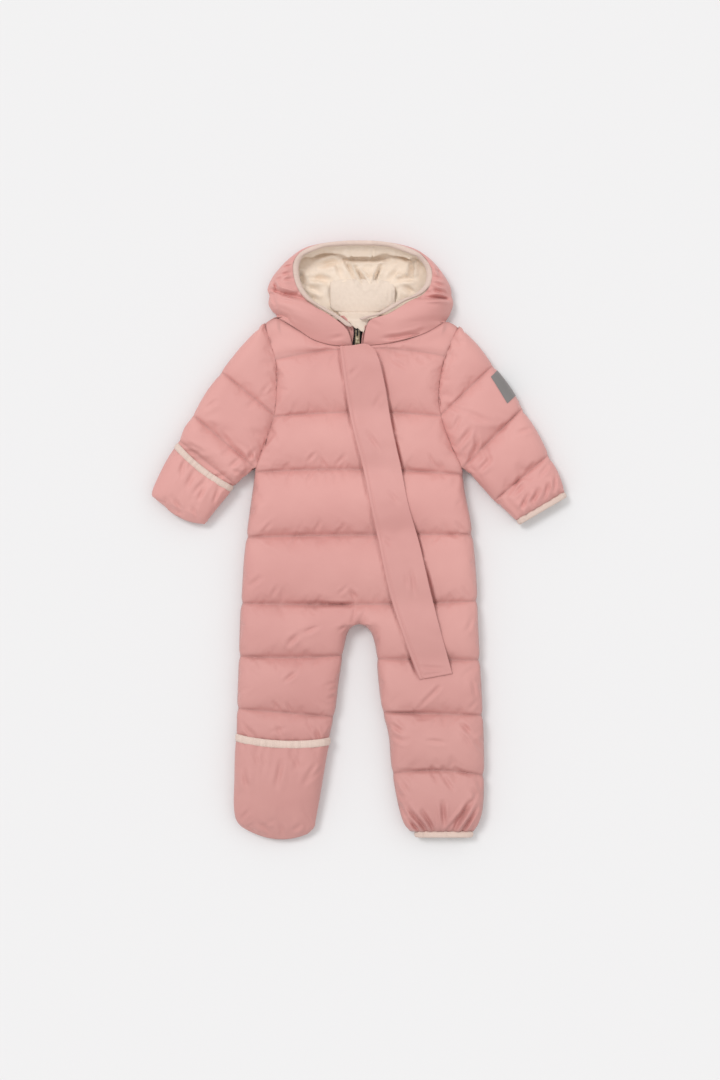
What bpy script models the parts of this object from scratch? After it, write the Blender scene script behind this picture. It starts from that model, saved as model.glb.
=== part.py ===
"""Baby snowsuit laid flat on its back: quilted padded cloth, hood, mitten and foot cover.

X runs across the suit, +Y towards the hood, +Z up from the surface it lies on.
Sides are the wearer's, so the right side lies at -X. Tables are in millimetres.
"""
import math

import bmesh
import bpy
from mathutils import Vector
from mathutils.bvhtree import BVHTree

MM = 0.001

# Layers of cloth, heights above the surface
MEET = 14.0            # height at which the front layer meets the back layer
HALF_GAP = 0.15        # half of the gap between two layers
SEAM_GAP = 0.7         # gap between pieces that are sewn edge to edge
SIDE_EDGE = 2.0        # thickness of a layer where it ends at a side seam
SEWN_EDGE = 8.0        # thickness of the front at an armhole or neck seam
SIDE_ROUND = 22.0      # width over which a side rounds up to its full height
BACK_ROUND = 16.0      # width over which the back rounds up to its side seam
CROTCH_ROUND = 18.0    # radius of the dip round the crotch point

# Quilting
GROOVE = 24.0          # height of the front along a quilting line
CHANNEL_STEPS = (0.0, 0.12, 0.35, 0.65, 0.88)   # rows across each padded channel
EDGE_STEPS = (0.0, 3.0, 9.0, 20.0)              # columns next to a rounded side
TORSO_COLUMNS = 20
LEG_COLUMNS = 10
GATHER = 1.4           # height of the gathers at an elastic cuff
NARROW_PUFF = 0.3      # a narrow channel puffs up by no more than this share of its width

# Hood
LINING = 1.8           # thickness of the fleece lining
CLOTH_GAP = 0.3        # gap between cloths that lie on each other
RIM_WALL = 3.4         # thickness of the shell at the face opening
STRIP_HALF = 16.0      # half width of the hood's centre panel
NECK_FLOOR = 16.6      # lowest height of the shell where it lies over the back

# Bindings
BINDING_HALF_WIDTH = 3.5
BINDING_HALF_THICK = 2.9
MOUTH_HALF_THICK = 2.2     # half thickness of the binding along a cover's mouth
BINDING_SUNK = 1.2         # how far it lies below the cover's surface
BAND_SIDES = 8
CUFF_RINGS = ((0.0, -0.6), (1.6, 0.5), (5.2, 0.5), (7.0, -1.4))   # way along a cuff, growth of its ring
CUFF_SLIT = 0.5            # half height of the slit through a cuff
CUFF_SLIT_INSET = 6.0
GROWTH_BELOW = 0.6         # share of a ring's growth on its underside

# Zip: the tapes and coil, then the slider and its pull at the top
ZIP_X = -3.0
TAPE_LOW, TAPE_HIGH = 20.0, 21.3
TAPE_ROWS = ((264.8, -7.2, 1.6), (275.0, -7.4, 2.2), (287.5, -10.0, 5.2))   # y, first and last x
COIL_HALF, COIL_TOP = 2.5, 22.3
COIL_CROWN = 0.7                    # half width of the coil's top, as a share of its foot
SLIDER_Y = 281.5
SLIDER = (8.4, 10.6, 22.6, 27.3)    # width, length, underside and top
BRIDGE = (2.0, 31.2, 29.9)          # width, outer height and height of the hole
BRIDGE_ENDS = (-4.6, 4.8)           # reach of the bridge each way from the slider's middle
HOLE_ENDS = (-3.3, 3.5)
BRIDGE_SUNK = 0.8                   # depth of the bridge's feet in the slider
HINGE = (-3.0, 283.15, 28.6)        # axis of the pull's end bar, along X
PULL = (5.6, 18.6, 1.5)             # width, length and thickness
WINDOW = (2.6, 6.4)                 # width and length of the pull's window
END_BAR = 1.5
CUT_REACH = 4.0                     # how far a cutting guide stands out past the metal

PINK = (0.72, 0.39, 0.36)
CREAM = (0.80, 0.70, 0.60)
FLEECE = (0.86, 0.76, 0.62)
GREY = (0.30, 0.29, 0.28)
BLACK = (0.03, 0.03, 0.03)
BEIGE = (0.42, 0.36, 0.27)

# Side outlines of the body, from the shoulder down: (y, x)
RIGHT_SIDE = ((287.4, -127.4), (265.0, -119.7), (235.6, -112.2), (202.0, -112.6), (169.4, -115.7),
              (137.0, -126.1), (99.2, -140.0), (72.0, -144.0), (23.6, -150.8), (-25.0, -156.4),
              (-65.5, -158.9), (-106.0, -161.6), (-154.6, -163.0), (-225.0, -165.6), (-262.0, -166.3),
              (-290.0, -168.4))
LEFT_SIDE = ((287.4, 133.0), (249.0, 115.6), (205.9, 107.3), (168.9, 109.8), (127.0, 124.6),
             (99.2, 137.6), (72.2, 141.0), (23.6, 150.3), (-25.0, 155.7), (-65.5, 158.4),
             (-106.0, 159.7), (-162.7, 162.4), (-211.0, 165.1), (-276.0, 167.8), (-325.0, 167.8),
             (-352.0, 166.2), (-372.0, 161.6), (-391.5, 153.5))
# Inner edges of the legs, from the crotch down: (y, x)
RIGHT_INSEAM = ((-115.4, -1.0), (-122.2, -12.6), (-130.3, -17.6), (-146.5, -21.2), (-187.0, -27.9),
                (-227.5, -33.0), (-262.0, -40.5), (-290.0, -45.0))
LEFT_INSEAM = ((-115.4, -1.0), (-122.2, 10.6), (-130.3, 16.6), (-146.5, 21.6), (-187.0, 25.0),
               (-227.5, 30.5), (-262.0, 39.0), (-300.0, 42.3), (-349.0, 50.4), (-378.0, 58.5),
               (-391.5, 67.0))
CROTCH = (-1.0, -115.4)

# Top edges of the front and the back, from shoulder to shoulder: (x, y)
FRONT_NECK = ((-127.4, 287.4), (-120.0, 295.0), (-112.0, 299.5), (-104.0, 297.0), (-93.2, 291.0),
              (-78.0, 281.5), (-63.0, 271.5), (-34.7, 263.6), (0.0, 263.0), (33.8, 265.6), (59.8, 271.0),
              (88.2, 280.4), (103.8, 289.0), (115.2, 295.3), (124.0, 293.5), (133.0, 287.4))
BACK_NECK = ((-127.4, 287.4), (-120.0, 297.0), (-112.0, 302.5), (-16.0, 305.7), (16.0, 305.7),
             (115.2, 295.3), (124.0, 293.5), (133.0, 287.4))

# Quilting lines across the torso: name, y at the right side, middle and left side
TORSO_LINES = (("yoke", 244.4, 260.0, 249.0), ("chest", 168.0, 174.0, 169.0),
               ("ribs", 93.3, 97.0, 90.0), ("waist", 6.0, 9.0, 9.6), ("hip", -83.0, -84.4, -80.0))
TORSO_PUFFS = (31.0, 35.0, 36.0, 37.0, 37.0)    # height of the channel above each of those lines
CROTCH_PUFF = 36.0
# Quilting lines across each leg: y at its left edge, middle and right edge as seen, height, puff above
RIGHT_LEG_LINES = ((-154.6, -156.0, -153.2, GROOVE, CROTCH_PUFF), (-224.8, -230.0, -236.3, 23.0, 34.0),
                   (-256.0, -263.0, -261.0, 26.0, 32.0))
LEFT_LEG_LINES = ((-158.0, -159.0, -159.5, GROOVE, CROTCH_PUFF), (-230.0, -231.5, -234.0, 23.0, 34.0),
                  (-312.0, -308.0, -315.0, 23.0, 34.0), (-391.5, -391.5, -391.5, 21.0, 32.0))
# The part of the right leg that goes into the foot cover
TUCK_INSET = 5.8
TUCK_AHEAD = 1.0
TUCK_STEP = 4.0        # length over which the back rises into the cover
TUCK_END = -290.0
TUCK_TOP = 27.2
TUCK_BOTTOM = 5.2
CUFF_LOW = 2.0         # underside of an elastic cuff
CUFF_START = -380.0    # a line below this is drawn in by elastic
GATHER_ABOVE = 1.6     # gathers of the row above it, to those of the cuff's own row
FIRST_STEPS = (0.66, 0.86)             # rows across a leg's first channel, below the crotch
CROTCH_STEPS = ((0.14, 0.35), (0.34, 0.7))   # rows above the crotch, and how far they part into legs

# Armholes
UNDERARM = 92.0            # y at which the side seam begins
UNDERARM_BLEND = 12.0      # length over which it becomes the armhole seam
ARMHOLE_FOOT = 96.0

# Rows of the back below the armholes: y
BACK_TORSO_ROWS = (84.0, 50.0, 10.0, -35.0, -80.0, -100.0)
BACK_LEG_SHARE = 0.6   # how far the last torso row parts into the legs' columns
BACK_LEG_ROWS = (-122.0, -131.0, -146.0, -180.0, -220.0, -250.0)
BACK_LEFT_ROWS = (-275.0, -310.0, -350.0, -378.0, -391.5)
CROTCH_ROW = (-118.0, -115.4, -118.0)

# Sleeves: one row per quilting line; fold = outer edge, end = armhole or underarm, top of the cloth,
# its underside, and the puff of the channel above
RIGHT_SLEEVE = (
    dict(fold=(-133.0, 290.5), end=(-128.6, 287.6), top=22.0, under=0.0, puff=0.0),
    dict(fold=(-186.0, 228.5), end=(-116.2, 171.0), top=GROOVE, under=0.0, puff=34.0),
    dict(fold=(-224.0, 170.0), end=(-141.2, 98.6), top=GROOVE, under=0.0, puff=35.0),
    dict(fold=(-242.6, 136.2), end=(-167.2, 76.8), top=25.5, under=0.0, puff=33.0))
RIGHT_TUCK_REACH = (-1.0, 16.0)        # how far past the mitten's mouth the sleeve's end rows lie
RIGHT_TUCK_TOP = 25.2
LEFT_SLEEVE = (
    dict(fold=(136.5, 290.0), end=(134.0, 287.6), top=22.0, under=0.0, puff=0.0),
    dict(fold=(179.0, 237.0), end=(110.4, 170.5), top=GROOVE, under=0.0, puff=34.0),
    dict(fold=(219.0, 179.5), end=(138.8, 98.6), top=GROOVE, under=0.0, puff=35.0),
    dict(fold=(254.0, 116.5), end=(181.5, 55.0), top=23.0, under=0.0, puff=34.0),
    dict(fold=(276.6, 66.9), end=(211.0, 28.4), top=21.0, under=2.0, puff=29.0))
SLEEVE_BULGE = 4.0     # how far each channel stands out past its quilting lines at the fold
SLEEVE_COLUMNS = (0.0, 0.035, 0.11, 0.26, 0.5, 0.74, 0.89, 0.965, 1.0)
SLEEVE_ROUND = 20.0
SLEEVE_WALL = 4.5      # wall at the fold
ARMHOLE_ROWS = 2       # channels whose inner end lies at the armhole
POCKET_ROUND = 3.0     # width over which the space inside a sleeve opens at its fold
SEAM_SHARE = 0.96      # share across past which the layers meet at the seam

# Mitten cover and foot cover: rings from the mouth to the tip; a and b = outer and inner fold
MITTEN = (dict(a=(-248.2, 128.2), b=(-173.6, 69.6), low=0.0, top=31.5),
          dict(a=(-259.2, 112.2), b=(-177.6, 62.6), low=0.0, top=33.0),
          dict(a=(-271.4, 88.4), b=(-190.0, 47.6), low=0.0, top=32.0),
          dict(a=(-280.0, 67.0), b=(-203.0, 31.4), low=0.0, top=28.0),
          dict(a=(-273.5, 59.0), b=(-205.4, 27.6), low=0.5, top=23.0),
          dict(a=(-261.5, 50.0), b=(-209.5, 23.5), low=3.0, top=17.0))
FOOT = (dict(a=(-166.6, -266.0), b=(-40.4, -271.0), low=0.0, top=33.0),
        dict(a=(-168.4, -285.0), b=(-44.0, -288.0), low=0.0, top=35.0),
        dict(a=(-169.2, -320.0), b=(-49.4, -320.0), low=0.0, top=35.0),
        dict(a=(-169.9, -355.0), b=(-55.4, -355.0), low=0.0, top=31.0),
        dict(a=(-167.0, -375.0), b=(-59.2, -375.0), low=0.0, top=27.0),
        dict(a=(-157.8, -386.0), b=(-61.5, -386.0), low=0.5, top=23.0),
        dict(a=(-140.0, -398.0), b=(-71.0, -398.0), low=3.0, top=17.0))
COVER_ROUND = 20.0
COVER_COLUMNS = (0.0, 0.03, 0.10, 0.26, 0.50, 0.74, 0.90, 0.97, 1.0)
COVER_WALL = 4.4       # wall of a cover at its mouth
COVER_DEPTH = 3        # rings that the pocket inside a cover reaches
MITTEN_SLOT = (4.4, 26.2)    # underside and top of the pocket
FOOT_SLOT = (4.4, 28.2)
MOUTH_SAG = 6.0        # how far the foot cover's mouth dips in the middle
TIP_BULGE = 3.8

# Hood sections from the centre panel's top round to the neck seam. out = outline, rim = face opening,
# seam = y of the centre panel's seam, crest = (distance in from the outline, height), rimTop = height
HOOD_RIGHT = (
    dict(out=(-16.3, 404.6), rim=(-16.3, 403.6), seam=385.0, crest=(1.0, 20.0), rimTop=29.0, wall=6.0),
    dict(out=(-50.0, 401.2), rim=(-49.0, 400.0), seam=379.0, crest=(1.0, 20.0), rimTop=29.5, wall=6.2),
    dict(out=(-78.0, 394.0), rim=(-75.0, 391.5), seam=372.0, crest=(2.0, 23.0), rimTop=30.5, wall=6.8),
    dict(out=(-99.0, 378.0), rim=(-88.0, 378.0), seam=368.0, crest=(6.0, 29.0), rimTop=32.0, wall=8.0),
    dict(out=(-116.5, 360.0), rim=(-89.5, 361.0), seam=357.0, crest=(13.0, 35.0), rimTop=33.0, wall=9.0),
    dict(out=(-125.0, 342.0), rim=(-84.0, 341.0), seam=345.0, crest=(20.0, 37.0), rimTop=33.5, wall=9.5),
    dict(out=(-123.0, 332.0), rim=(-74.0, 326.0), seam=336.0, crest=(20.0, 31.0), rimTop=32.0, wall=9.5),
    dict(out=(-123.5, 320.0), rim=(-58.0, 314.5), seam=326.0, crest=(24.0, 39.0), rimTop=34.0, wall=9.5),
    dict(out=(-118.0, 311.0), rim=(-34.7, 303.3), seam=318.0, crest=(30.0, 38.5), rimTop=34.5, wall=9.5),
    dict(out=(-113.0, 306.6), rim=(-14.5, 290.5), seam=311.5, crest=(30.0, 33.0), rimTop=33.0, wall=7.5),
    dict(out=(-112.0, 303.3), rim=(-9.5, 264.2), seam=306.6, crest=(14.0, 23.5), rimTop=24.0, wall=5.4))
HOOD_LEFT = (
    dict(out=(16.3, 404.6), rim=(16.3, 403.6), seam=385.0, crest=(1.0, 20.0), rimTop=29.0, wall=6.0),
    dict(out=(45.0, 401.8), rim=(44.0, 400.4), seam=379.0, crest=(1.0, 20.0), rimTop=29.5, wall=6.2),
    dict(out=(76.0, 393.6), rim=(74.0, 391.0), seam=372.0, crest=(2.0, 23.0), rimTop=30.5, wall=6.8),
    dict(out=(97.0, 379.0), rim=(89.0, 379.0), seam=368.0, crest=(5.0, 29.0), rimTop=32.0, wall=8.0),
    dict(out=(112.0, 362.0), rim=(97.0, 364.0), seam=357.0, crest=(9.0, 33.0), rimTop=33.0, wall=9.0),
    dict(out=(121.0, 344.0), rim=(95.0, 345.0), seam=345.0, crest=(13.0, 36.0), rimTop=33.5, wall=9.5),
    dict(out=(123.5, 330.0), rim=(84.0, 331.0), seam=336.0, crest=(18.0, 31.0), rimTop=32.0, wall=9.5),
    dict(out=(126.5, 320.0), rim=(66.0, 322.0), seam=326.0, crest=(24.0, 39.0), rimTop=34.0, wall=9.5),
    dict(out=(122.0, 307.5), rim=(40.0, 311.5), seam=318.0, crest=(30.0, 38.5), rimTop=34.5, wall=9.5),
    dict(out=(117.0, 299.2), rim=(12.5, 300.5), seam=311.0, crest=(30.0, 33.0), rimTop=33.0, wall=7.5),
    dict(out=(115.6, 296.4), rim=(3.8, 266.2), seam=306.6, crest=(14.0, 23.5), rimTop=24.0, wall=5.4))
HOOD_PLACES = (0.0, 1.0, 2.0, 2.5, 3.0, 3.5, 4.0, 4.5, 5.0, 5.5, 6.0, 6.5, 7.0, 7.5, 8.0, 9.0, 9.5, 10.0)
CENTRE_ROWS = (306.6, 335.0, 362.0)
FLOOR_POINTS = 2       # points of a section along the surface
OVER_POINTS = 9        # points of a section from the surface round to the rim
CONTACT = 13.0         # how far in from the outline the hood leaves the surface
MIN_TURN = 3.0         # least width of the turn from the surface, and of the run from crest to rim
MAX_CONTACT = 0.8      # most of the run along the surface that the turn may take
MAX_CREST = 0.6        # most of the run over the top at which the crest may lie
SHOULDER = 0.35        # height of the outline's fullest part, as a share of the crest's
CREST_THIN = 0.3       # how far the wall has thinned towards the rim at the crest
NECK_WALL = 6.0        # least thickness of the shell over the back
NECK_START = 8.0       # section past which the hood lies over the back
NECK_GAP = 1.1
LEAN_RISE = 6.5        # height over which a section turns from the back's seam to the front's
BINDING_GAP = 0.5
NECK_BLEND = {10: 1.0, 9: 0.45, 8: 0.12}       # how much a section follows the neck seam's curve

# Placket from the neck down: y at its right-hand and left-hand edge as worn, and x of both
PLACKET = (dict(yRight=261.9, yLeft=263.0, xRight=-27.4, xLeft=12.6),
           dict(yRight=250.4, yLeft=252.5, xRight=-25.7, xLeft=22.7),
           dict(yRight=205.9, yLeft=204.5, xRight=-19.8, xLeft=34.8),
           dict(yRight=151.9, yLeft=151.9, xRight=-10.0, xLeft=43.6),
           dict(yRight=96.5, yLeft=96.5, xRight=4.5, xLeft=56.0),
           dict(yRight=49.3, yLeft=49.3, xRight=13.8, xLeft=65.2),
           dict(yRight=-0.7, yLeft=-0.7, xRight=24.7, xLeft=79.5),
           dict(yRight=-65.5, yLeft=-60.9, xRight=38.5, xLeft=93.4),
           dict(yRight=-133.0, yLeft=-124.9, xRight=59.9, xLeft=109.8),
           dict(yRight=-185.6, yLeft=-177.5, xRight=80.2, xLeft=124.3))
PLACKET_THICK = 2.4
PLACKET_GAP = 0.45
PLACKET_STEPS = 34
PLACKET_COLUMNS = (0.0, 0.06, 0.35, 0.65, 0.94, 1.0)
PLACKET_EDGE = 0.7     # thickness at its edges, as a share of the middle's
FEEL_ACROSS = (-5.0, 0.0, 5.0)                 # places round a point at which the front is felt for,
FEEL_ALONG = (-6.0, -3.0, 0.0, 3.0, 6.0)       # so that the flap bridges its quilting lines
FEEL_FROM = 100.0

# Sleeve patch: stretch along the left sleeve's channels and across its section
PATCH_ALONG = (1.12, 1.28, 1.44, 1.60, 1.76)
PATCH_THICK = 0.9
PATCH_LIFT = 0.45

# Neck facing: y of its upper and lower edge at columns across: (x, top, bottom)
FACING = ((-38.0, 348.0, 326.0), (-33.0, 351.0, 317.0), (-20.0, 352.0, 309.5), (4.0, 352.0, 307.5),
          (28.0, 350.0, 310.0), (40.0, 347.5, 318.0), (46.0, 345.0, 328.0))
FACING_THICK = 2.0
FACING_PLACE = 5.0                   # hood section on whose lining it lies
FACING_STEPS = (0.0, 0.33, 0.67, 1.0)

# Chin guard of the zip: corners seen from above
GUARD = ((-22.5, 309.0), (11.7, 308.5), (9.9, 300.0), (8.0, 290.0), (4.4, 283.6), (2.4, 284.6),
         (1.8, 288.4), (-7.6, 289.0), (-20.8, 305.0))
GUARD_Z = (24.4, 26.0)


def clear_scene():
    for item in list(bpy.data.objects):
        bpy.data.objects.remove(item, do_unlink=True)


def material(name, colour, roughness, metallic=0.0):
    finish = bpy.data.materials.new(name)
    finish.use_nodes = True
    shader = finish.node_tree.nodes["Principled BSDF"]
    shader.inputs["Base Color"].default_value = (*colour, 1.0)
    shader.inputs["Roughness"].default_value = roughness
    shader.inputs["Metallic"].default_value = metallic
    return finish


def mix(a, b, share):
    return a + (b - a) * share


def mix_point(a, b, share):
    return tuple(mix(p, q, share) for p, q in zip(a, b))


def smooth_value(table, at):
    """Value at a key of a table of (key, value) rows, on a cubic curve through the rows."""
    rows = sorted(table)
    if at <= rows[0][0]:
        return rows[0][1]
    if at >= rows[-1][0]:
        return rows[-1][1]
    index = max(i for i, row in enumerate(rows[:-1]) if row[0] <= at)

    def slope(i):
        low, high = max(i - 1, 0), min(i + 1, len(rows) - 1)
        return (rows[high][1] - rows[low][1]) / (rows[high][0] - rows[low][0])

    (x0, y0), (x1, y1) = rows[index], rows[index + 1]
    width = x1 - x0
    t = (at - x0) / width
    return ((2 * t ** 3 - 3 * t ** 2 + 1) * y0 + (t ** 3 - 2 * t ** 2 + t) * width * slope(index)
            + (3 * t ** 2 - 2 * t ** 3) * y1 + (t ** 3 - t ** 2) * width * slope(index + 1))


def smooth_point(points, at):
    """Point on a Catmull-Rom curve through a list of points; at counts points from 0."""
    last = len(points) - 1
    index = min(int(at), last - 1)
    t = at - index
    p0, p1, p2, p3 = (points[min(max(index + k, 0), last)] for k in (-1, 0, 1, 2))
    return tuple(0.5 * (2 * b + (c - a) * t + (2 * a - 5 * b + 4 * c - d) * t ** 2
                        + (3 * b - a - 3 * c + d) * t ** 3)
                 for a, b, c, d in zip(p0, p1, p2, p3))


def rounding(distance, width):
    """0 at an edge, rising as a quarter circle to 1 at the given width."""
    share = min(max(distance / width, 0.0), 1.0)
    return math.sqrt(1.0 - (1.0 - share) ** 2)


def pillow(share):
    """Height of a padded channel: 0 at its two sewn lines, 1 in the middle."""
    return math.sqrt(max(4.0 * share * (1.0 - share), 0.0))


def three_way(left, middle, right, share):
    """Quadratic through three values at shares 0, 0.5 and 1."""
    return (left * (1 - share) * (1 - 2 * share) + 4 * middle * share * (1 - share)
            + right * share * (2 * share - 1))


def make_object(name, vertices, faces, finish):
    """Closed mesh from points in millimetres, with its faces turned outwards."""
    mesh = bpy.data.meshes.new(name)
    mesh.from_pydata([Vector(point) * MM for point in vertices], [], faces)
    shape = bmesh.new()
    shape.from_mesh(mesh)
    bmesh.ops.recalc_face_normals(shape, faces=shape.faces)
    shape.to_mesh(mesh)
    shape.free()
    mesh.shade_smooth()
    mesh.set_sharp_from_angle(angle=math.radians(50))
    mesh.materials.append(finish)
    thing = bpy.data.objects.new(name, mesh)
    bpy.context.collection.objects.link(thing)
    return thing


def wall(name, outer, inner, finish):
    """Closed wall of cloth between two grids of points with the same rows and columns."""
    rows, columns = len(outer), len(outer[0])
    vertices = [point for grid in (outer, inner) for row in grid for point in row]
    step = rows * columns

    def at(row, column, side=0):
        return side * step + row * columns + column

    faces = []
    for r in range(rows - 1):
        for c in range(columns - 1):
            faces.append((at(r, c), at(r, c + 1), at(r + 1, c + 1), at(r + 1, c)))
            faces.append((at(r, c, 1), at(r + 1, c, 1), at(r + 1, c + 1, 1), at(r, c + 1, 1)))
    for r in range(rows - 1):
        for c in (0, columns - 1):
            faces.append((at(r, c), at(r + 1, c), at(r + 1, c, 1), at(r, c, 1)))
    for c in range(columns - 1):
        for r in (0, rows - 1):
            faces.append((at(r, c), at(r, c + 1), at(r, c + 1, 1), at(r, c, 1)))
    return make_object(name, vertices, faces, finish)


def tube(name, outer, inner, finish, deep_end):
    """Rings of an outer surface joined at the mouth to the rings of a pocket.

    With deep_end the tip and the pocket are closed, without it the hole goes right through.
    """
    count = len(outer[0])
    vertices = [point for rings in (outer, inner) for ring in rings for point in ring]
    start = len(outer) * count

    def strip(first, second):
        return [(first + k, first + (k + 1) % count, second + (k + 1) % count, second + k)
                for k in range(count)]

    faces = []
    for r in range(len(outer) - 1):
        faces += strip(r * count, (r + 1) * count)
    for r in range(len(inner) - 1):
        faces += strip(start + r * count, start + (r + 1) * count)
    faces += strip(0, start)
    last_outer, last_inner = (len(outer) - 1) * count, start + (len(inner) - 1) * count
    if deep_end:
        faces.append([last_outer + k for k in range(count)])
        faces.append([last_inner + k for k in range(count)])
    else:
        faces += strip(last_outer, last_inner)
    return make_object(name, vertices, faces, finish)


# Body: front and back -------------------------------------------------------------------

def right_edge(y):
    return smooth_value(RIGHT_SIDE, y)


def left_edge(y):
    return smooth_value(LEFT_SIDE, y)


def right_inseam(y):
    return smooth_value(RIGHT_INSEAM, y)


def left_inseam(y):
    return smooth_value(LEFT_INSEAM, y)


def spread(count):
    """Shares across a span whose columns crowd at both rounded sides: (share, fixed distance)."""
    inner = count - 2 * (len(EDGE_STEPS) - 1)
    first = [("from_start", step) for step in EDGE_STEPS]
    middle = [("between", k / inner) for k in range(1, inner)]
    last = [("from_end", step) for step in reversed(EDGE_STEPS)]
    return first + middle + last


def span_positions(start, end, count):
    margin = EDGE_STEPS[-1]
    places = []
    for kind, value in spread(count):
        if kind == "from_start":
            places.append(start + value)
        elif kind == "from_end":
            places.append(end - value)
        else:
            places.append(mix(start + margin, end - margin, value))
    return places


def torso_positions(start, end, leg_share):
    """Columns of a torso row, drawn towards the leg's columns just above the crotch."""
    wide = span_positions(start, end, TORSO_COLUMNS)
    if leg_share == 0.0:
        return wide
    legs = span_positions(start, CROTCH[0], LEG_COLUMNS) + span_positions(CROTCH[0], end, LEG_COLUMNS)[1:]
    return [mix(a, b, leg_share) for a, b in zip(wide, legs)]


def row_depth(columns, x, y, width):
    """0 at the row's ends and at the crotch point, rising to 1 inside the cloth."""
    depth = rounding(min(x - columns[0], columns[-1] - x), width)
    if y >= CROTCH[1]:
        depth = min(depth, rounding(math.hypot(x - CROTCH[0], y - CROTCH[1]), CROTCH_ROUND))
    return depth


def edge_thickness(y):
    """Thickness of the front at its edge: sewn to the sleeve above, a side seam below."""
    above = (y - UNDERARM) / UNDERARM_BLEND
    return mix(SIDE_EDGE, SEWN_EDGE, min(max(above, 0.0), 1.0))


def front_height(columns, x, y, top):
    edge = MEET + HALF_GAP + edge_thickness(y)
    return mix(edge, max(top, edge), row_depth(columns, x, y, SIDE_ROUND))


def back_height(columns, x, y, under):
    """Underside of the back: flat on the surface, rounding up at side seams and inner legs."""
    if y > ARMHOLE_FOOT:
        return under
    return mix(MEET - HALF_GAP - SIDE_EDGE, under, row_depth(columns, x, y, BACK_ROUND))


def torso_row(curve, height, level, leg_share=0.0):
    """One row of the torso; curve and level give y and the cloth's height from the share across."""
    columns = torso_positions(right_edge(curve(0.0)), left_edge(curve(1.0)), leg_share)
    row = []
    for x in columns:
        across = (x - columns[0]) / (columns[-1] - columns[0])
        y = curve(across)
        row.append((x, y, height(columns, x, y, level(across))))
    return row


def leg_row(curve, height, level, side, gather=0.0, inset=0.0):
    """One row of a leg; side is -1 for the wearer's right leg and 1 for the left."""
    first, last = (right_edge, right_inseam) if side < 0 else (left_inseam, left_edge)
    columns = span_positions(first(curve(0.0)) + inset, last(curve(1.0)) - inset, LEG_COLUMNS)
    row = []
    for index, x in enumerate(columns):
        y = curve((x - columns[0]) / (columns[-1] - columns[0]))
        lift = gather if index % 2 else -gather
        inside = 0 < index < LEG_COLUMNS
        row.append((x, y, height(columns, x, y, level) + (lift if inside else 0.0)))
    return row


def between(first, second, share):
    """Curve at a share of the way from one row's curve to the next."""
    return lambda across: mix(first(across), second(across), share)


def raised(curve, lift):
    return lambda across: curve(across) + lift


def line_curve(line):
    return lambda across: three_way(line[0], line[1], line[2], across)


def neck_curve(table):
    return lambda across: smooth_value(table, mix(table[0][0], table[-1][0], across))


def leg_rows(lines, side):
    """Rows of a leg's front from just below the crotch to its last line."""
    rows = []
    hip = line_curve(TORSO_LINES[-1][1:])
    first_share = 0.0 if side < 0 else 0.5
    upper = lambda across: hip(first_share + across * 0.5)
    height, steps = GROOVE, FIRST_STEPS
    for line in lines:
        curve = line_curve(line)
        elastic = line[0] < CUFF_START
        for share in steps:
            base = mix(height, line[3], share)
            level = base + (line[4] - base) * pillow(share)
            gather = GATHER * GATHER_ABOVE if elastic and share == steps[-1] else 0.0
            rows.append(leg_row(between(upper, curve, share), front_height, level, side, gather))
        rows.append(leg_row(curve, front_height, line[3], side, GATHER if elastic else 0.0))
        upper, height, steps = curve, line[3], CHANNEL_STEPS[1:]
    return rows


def channel_level(upper, lower, share, base, puff):
    """Height of a padded channel at a share of the way down it; a narrow channel puffs up less."""
    def level(across):
        width = upper(across) - lower(across)
        return base + min(puff - base, width * NARROW_PUFF) * pillow(share)
    return level


def front_rows():
    """Rows of the front's torso from the neck to the crotch."""
    rows = []
    upper = neck_curve(FRONT_NECK)
    height = MEET + SEWN_EDGE
    for line, puff in zip(TORSO_LINES, TORSO_PUFFS):
        curve = line_curve(line[1:])
        for share in CHANNEL_STEPS:
            level = channel_level(upper, curve, share, mix(height, GROOVE, share), puff)
            rows.append(torso_row(between(upper, curve, share), front_height, level))
        upper, height = curve, GROOVE
    rows.append(torso_row(upper, front_height, lambda across: GROOVE))
    knee = line_curve(RIGHT_LEG_LINES[0])
    for share, leg_share in CROTCH_STEPS:
        level = channel_level(upper, knee, share, GROOVE, CROTCH_PUFF)
        rows.append(torso_row(between(upper, knee, share), front_height, level, leg_share))
    rows.append(torso_row(line_curve(CROTCH_ROW), front_height, lambda across: CROTCH_PUFF, 1.0))
    return rows


def body_panel(name, torso, right_leg, left_leg, plain, finish):
    """Closed panel: a shaped side given by rows, and a plain flat side at one height."""
    vertices, grid = [], []
    for row in torso:
        grid.append(list(range(len(vertices), len(vertices) + len(row))))
        vertices += row
    middle = TORSO_COLUMNS // 2
    legs = []
    for rows, first in ((right_leg, grid[-1][:middle + 1]), (left_leg, grid[-1][middle:])):
        leg = [first]
        for row in rows:
            leg.append(list(range(len(vertices), len(vertices) + len(row))))
            vertices += row
        legs.append(leg)
    faces = []
    for block in (grid, *legs):
        for upper, lower in zip(block, block[1:]):
            for c in range(len(upper) - 1):
                faces.append((upper[c], upper[c + 1], lower[c + 1], lower[c]))
    right, left = legs
    loop = grid[0][:]
    loop += [row[-1] for row in grid[1:]] + [row[-1] for row in left[1:]]
    loop += left[-1][-2::-1] + [row[0] for row in left[-2:0:-1]]
    loop += [grid[-1][middle]]
    loop += [row[-1] for row in right[1:]] + right[-1][-2::-1]
    loop += [row[0] for row in right[-2:0:-1]] + [row[0] for row in grid[:0:-1]]
    flat = []
    for index in loop:
        x, y, _ = vertices[index]
        flat.append(len(vertices))
        vertices.append((x, y, plain))
    for k in range(len(loop)):
        n = (k + 1) % len(loop)
        faces.append((loop[k], loop[n], flat[n], flat[k]))
    faces.append(flat)
    return make_object(name, vertices, faces, finish)


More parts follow.
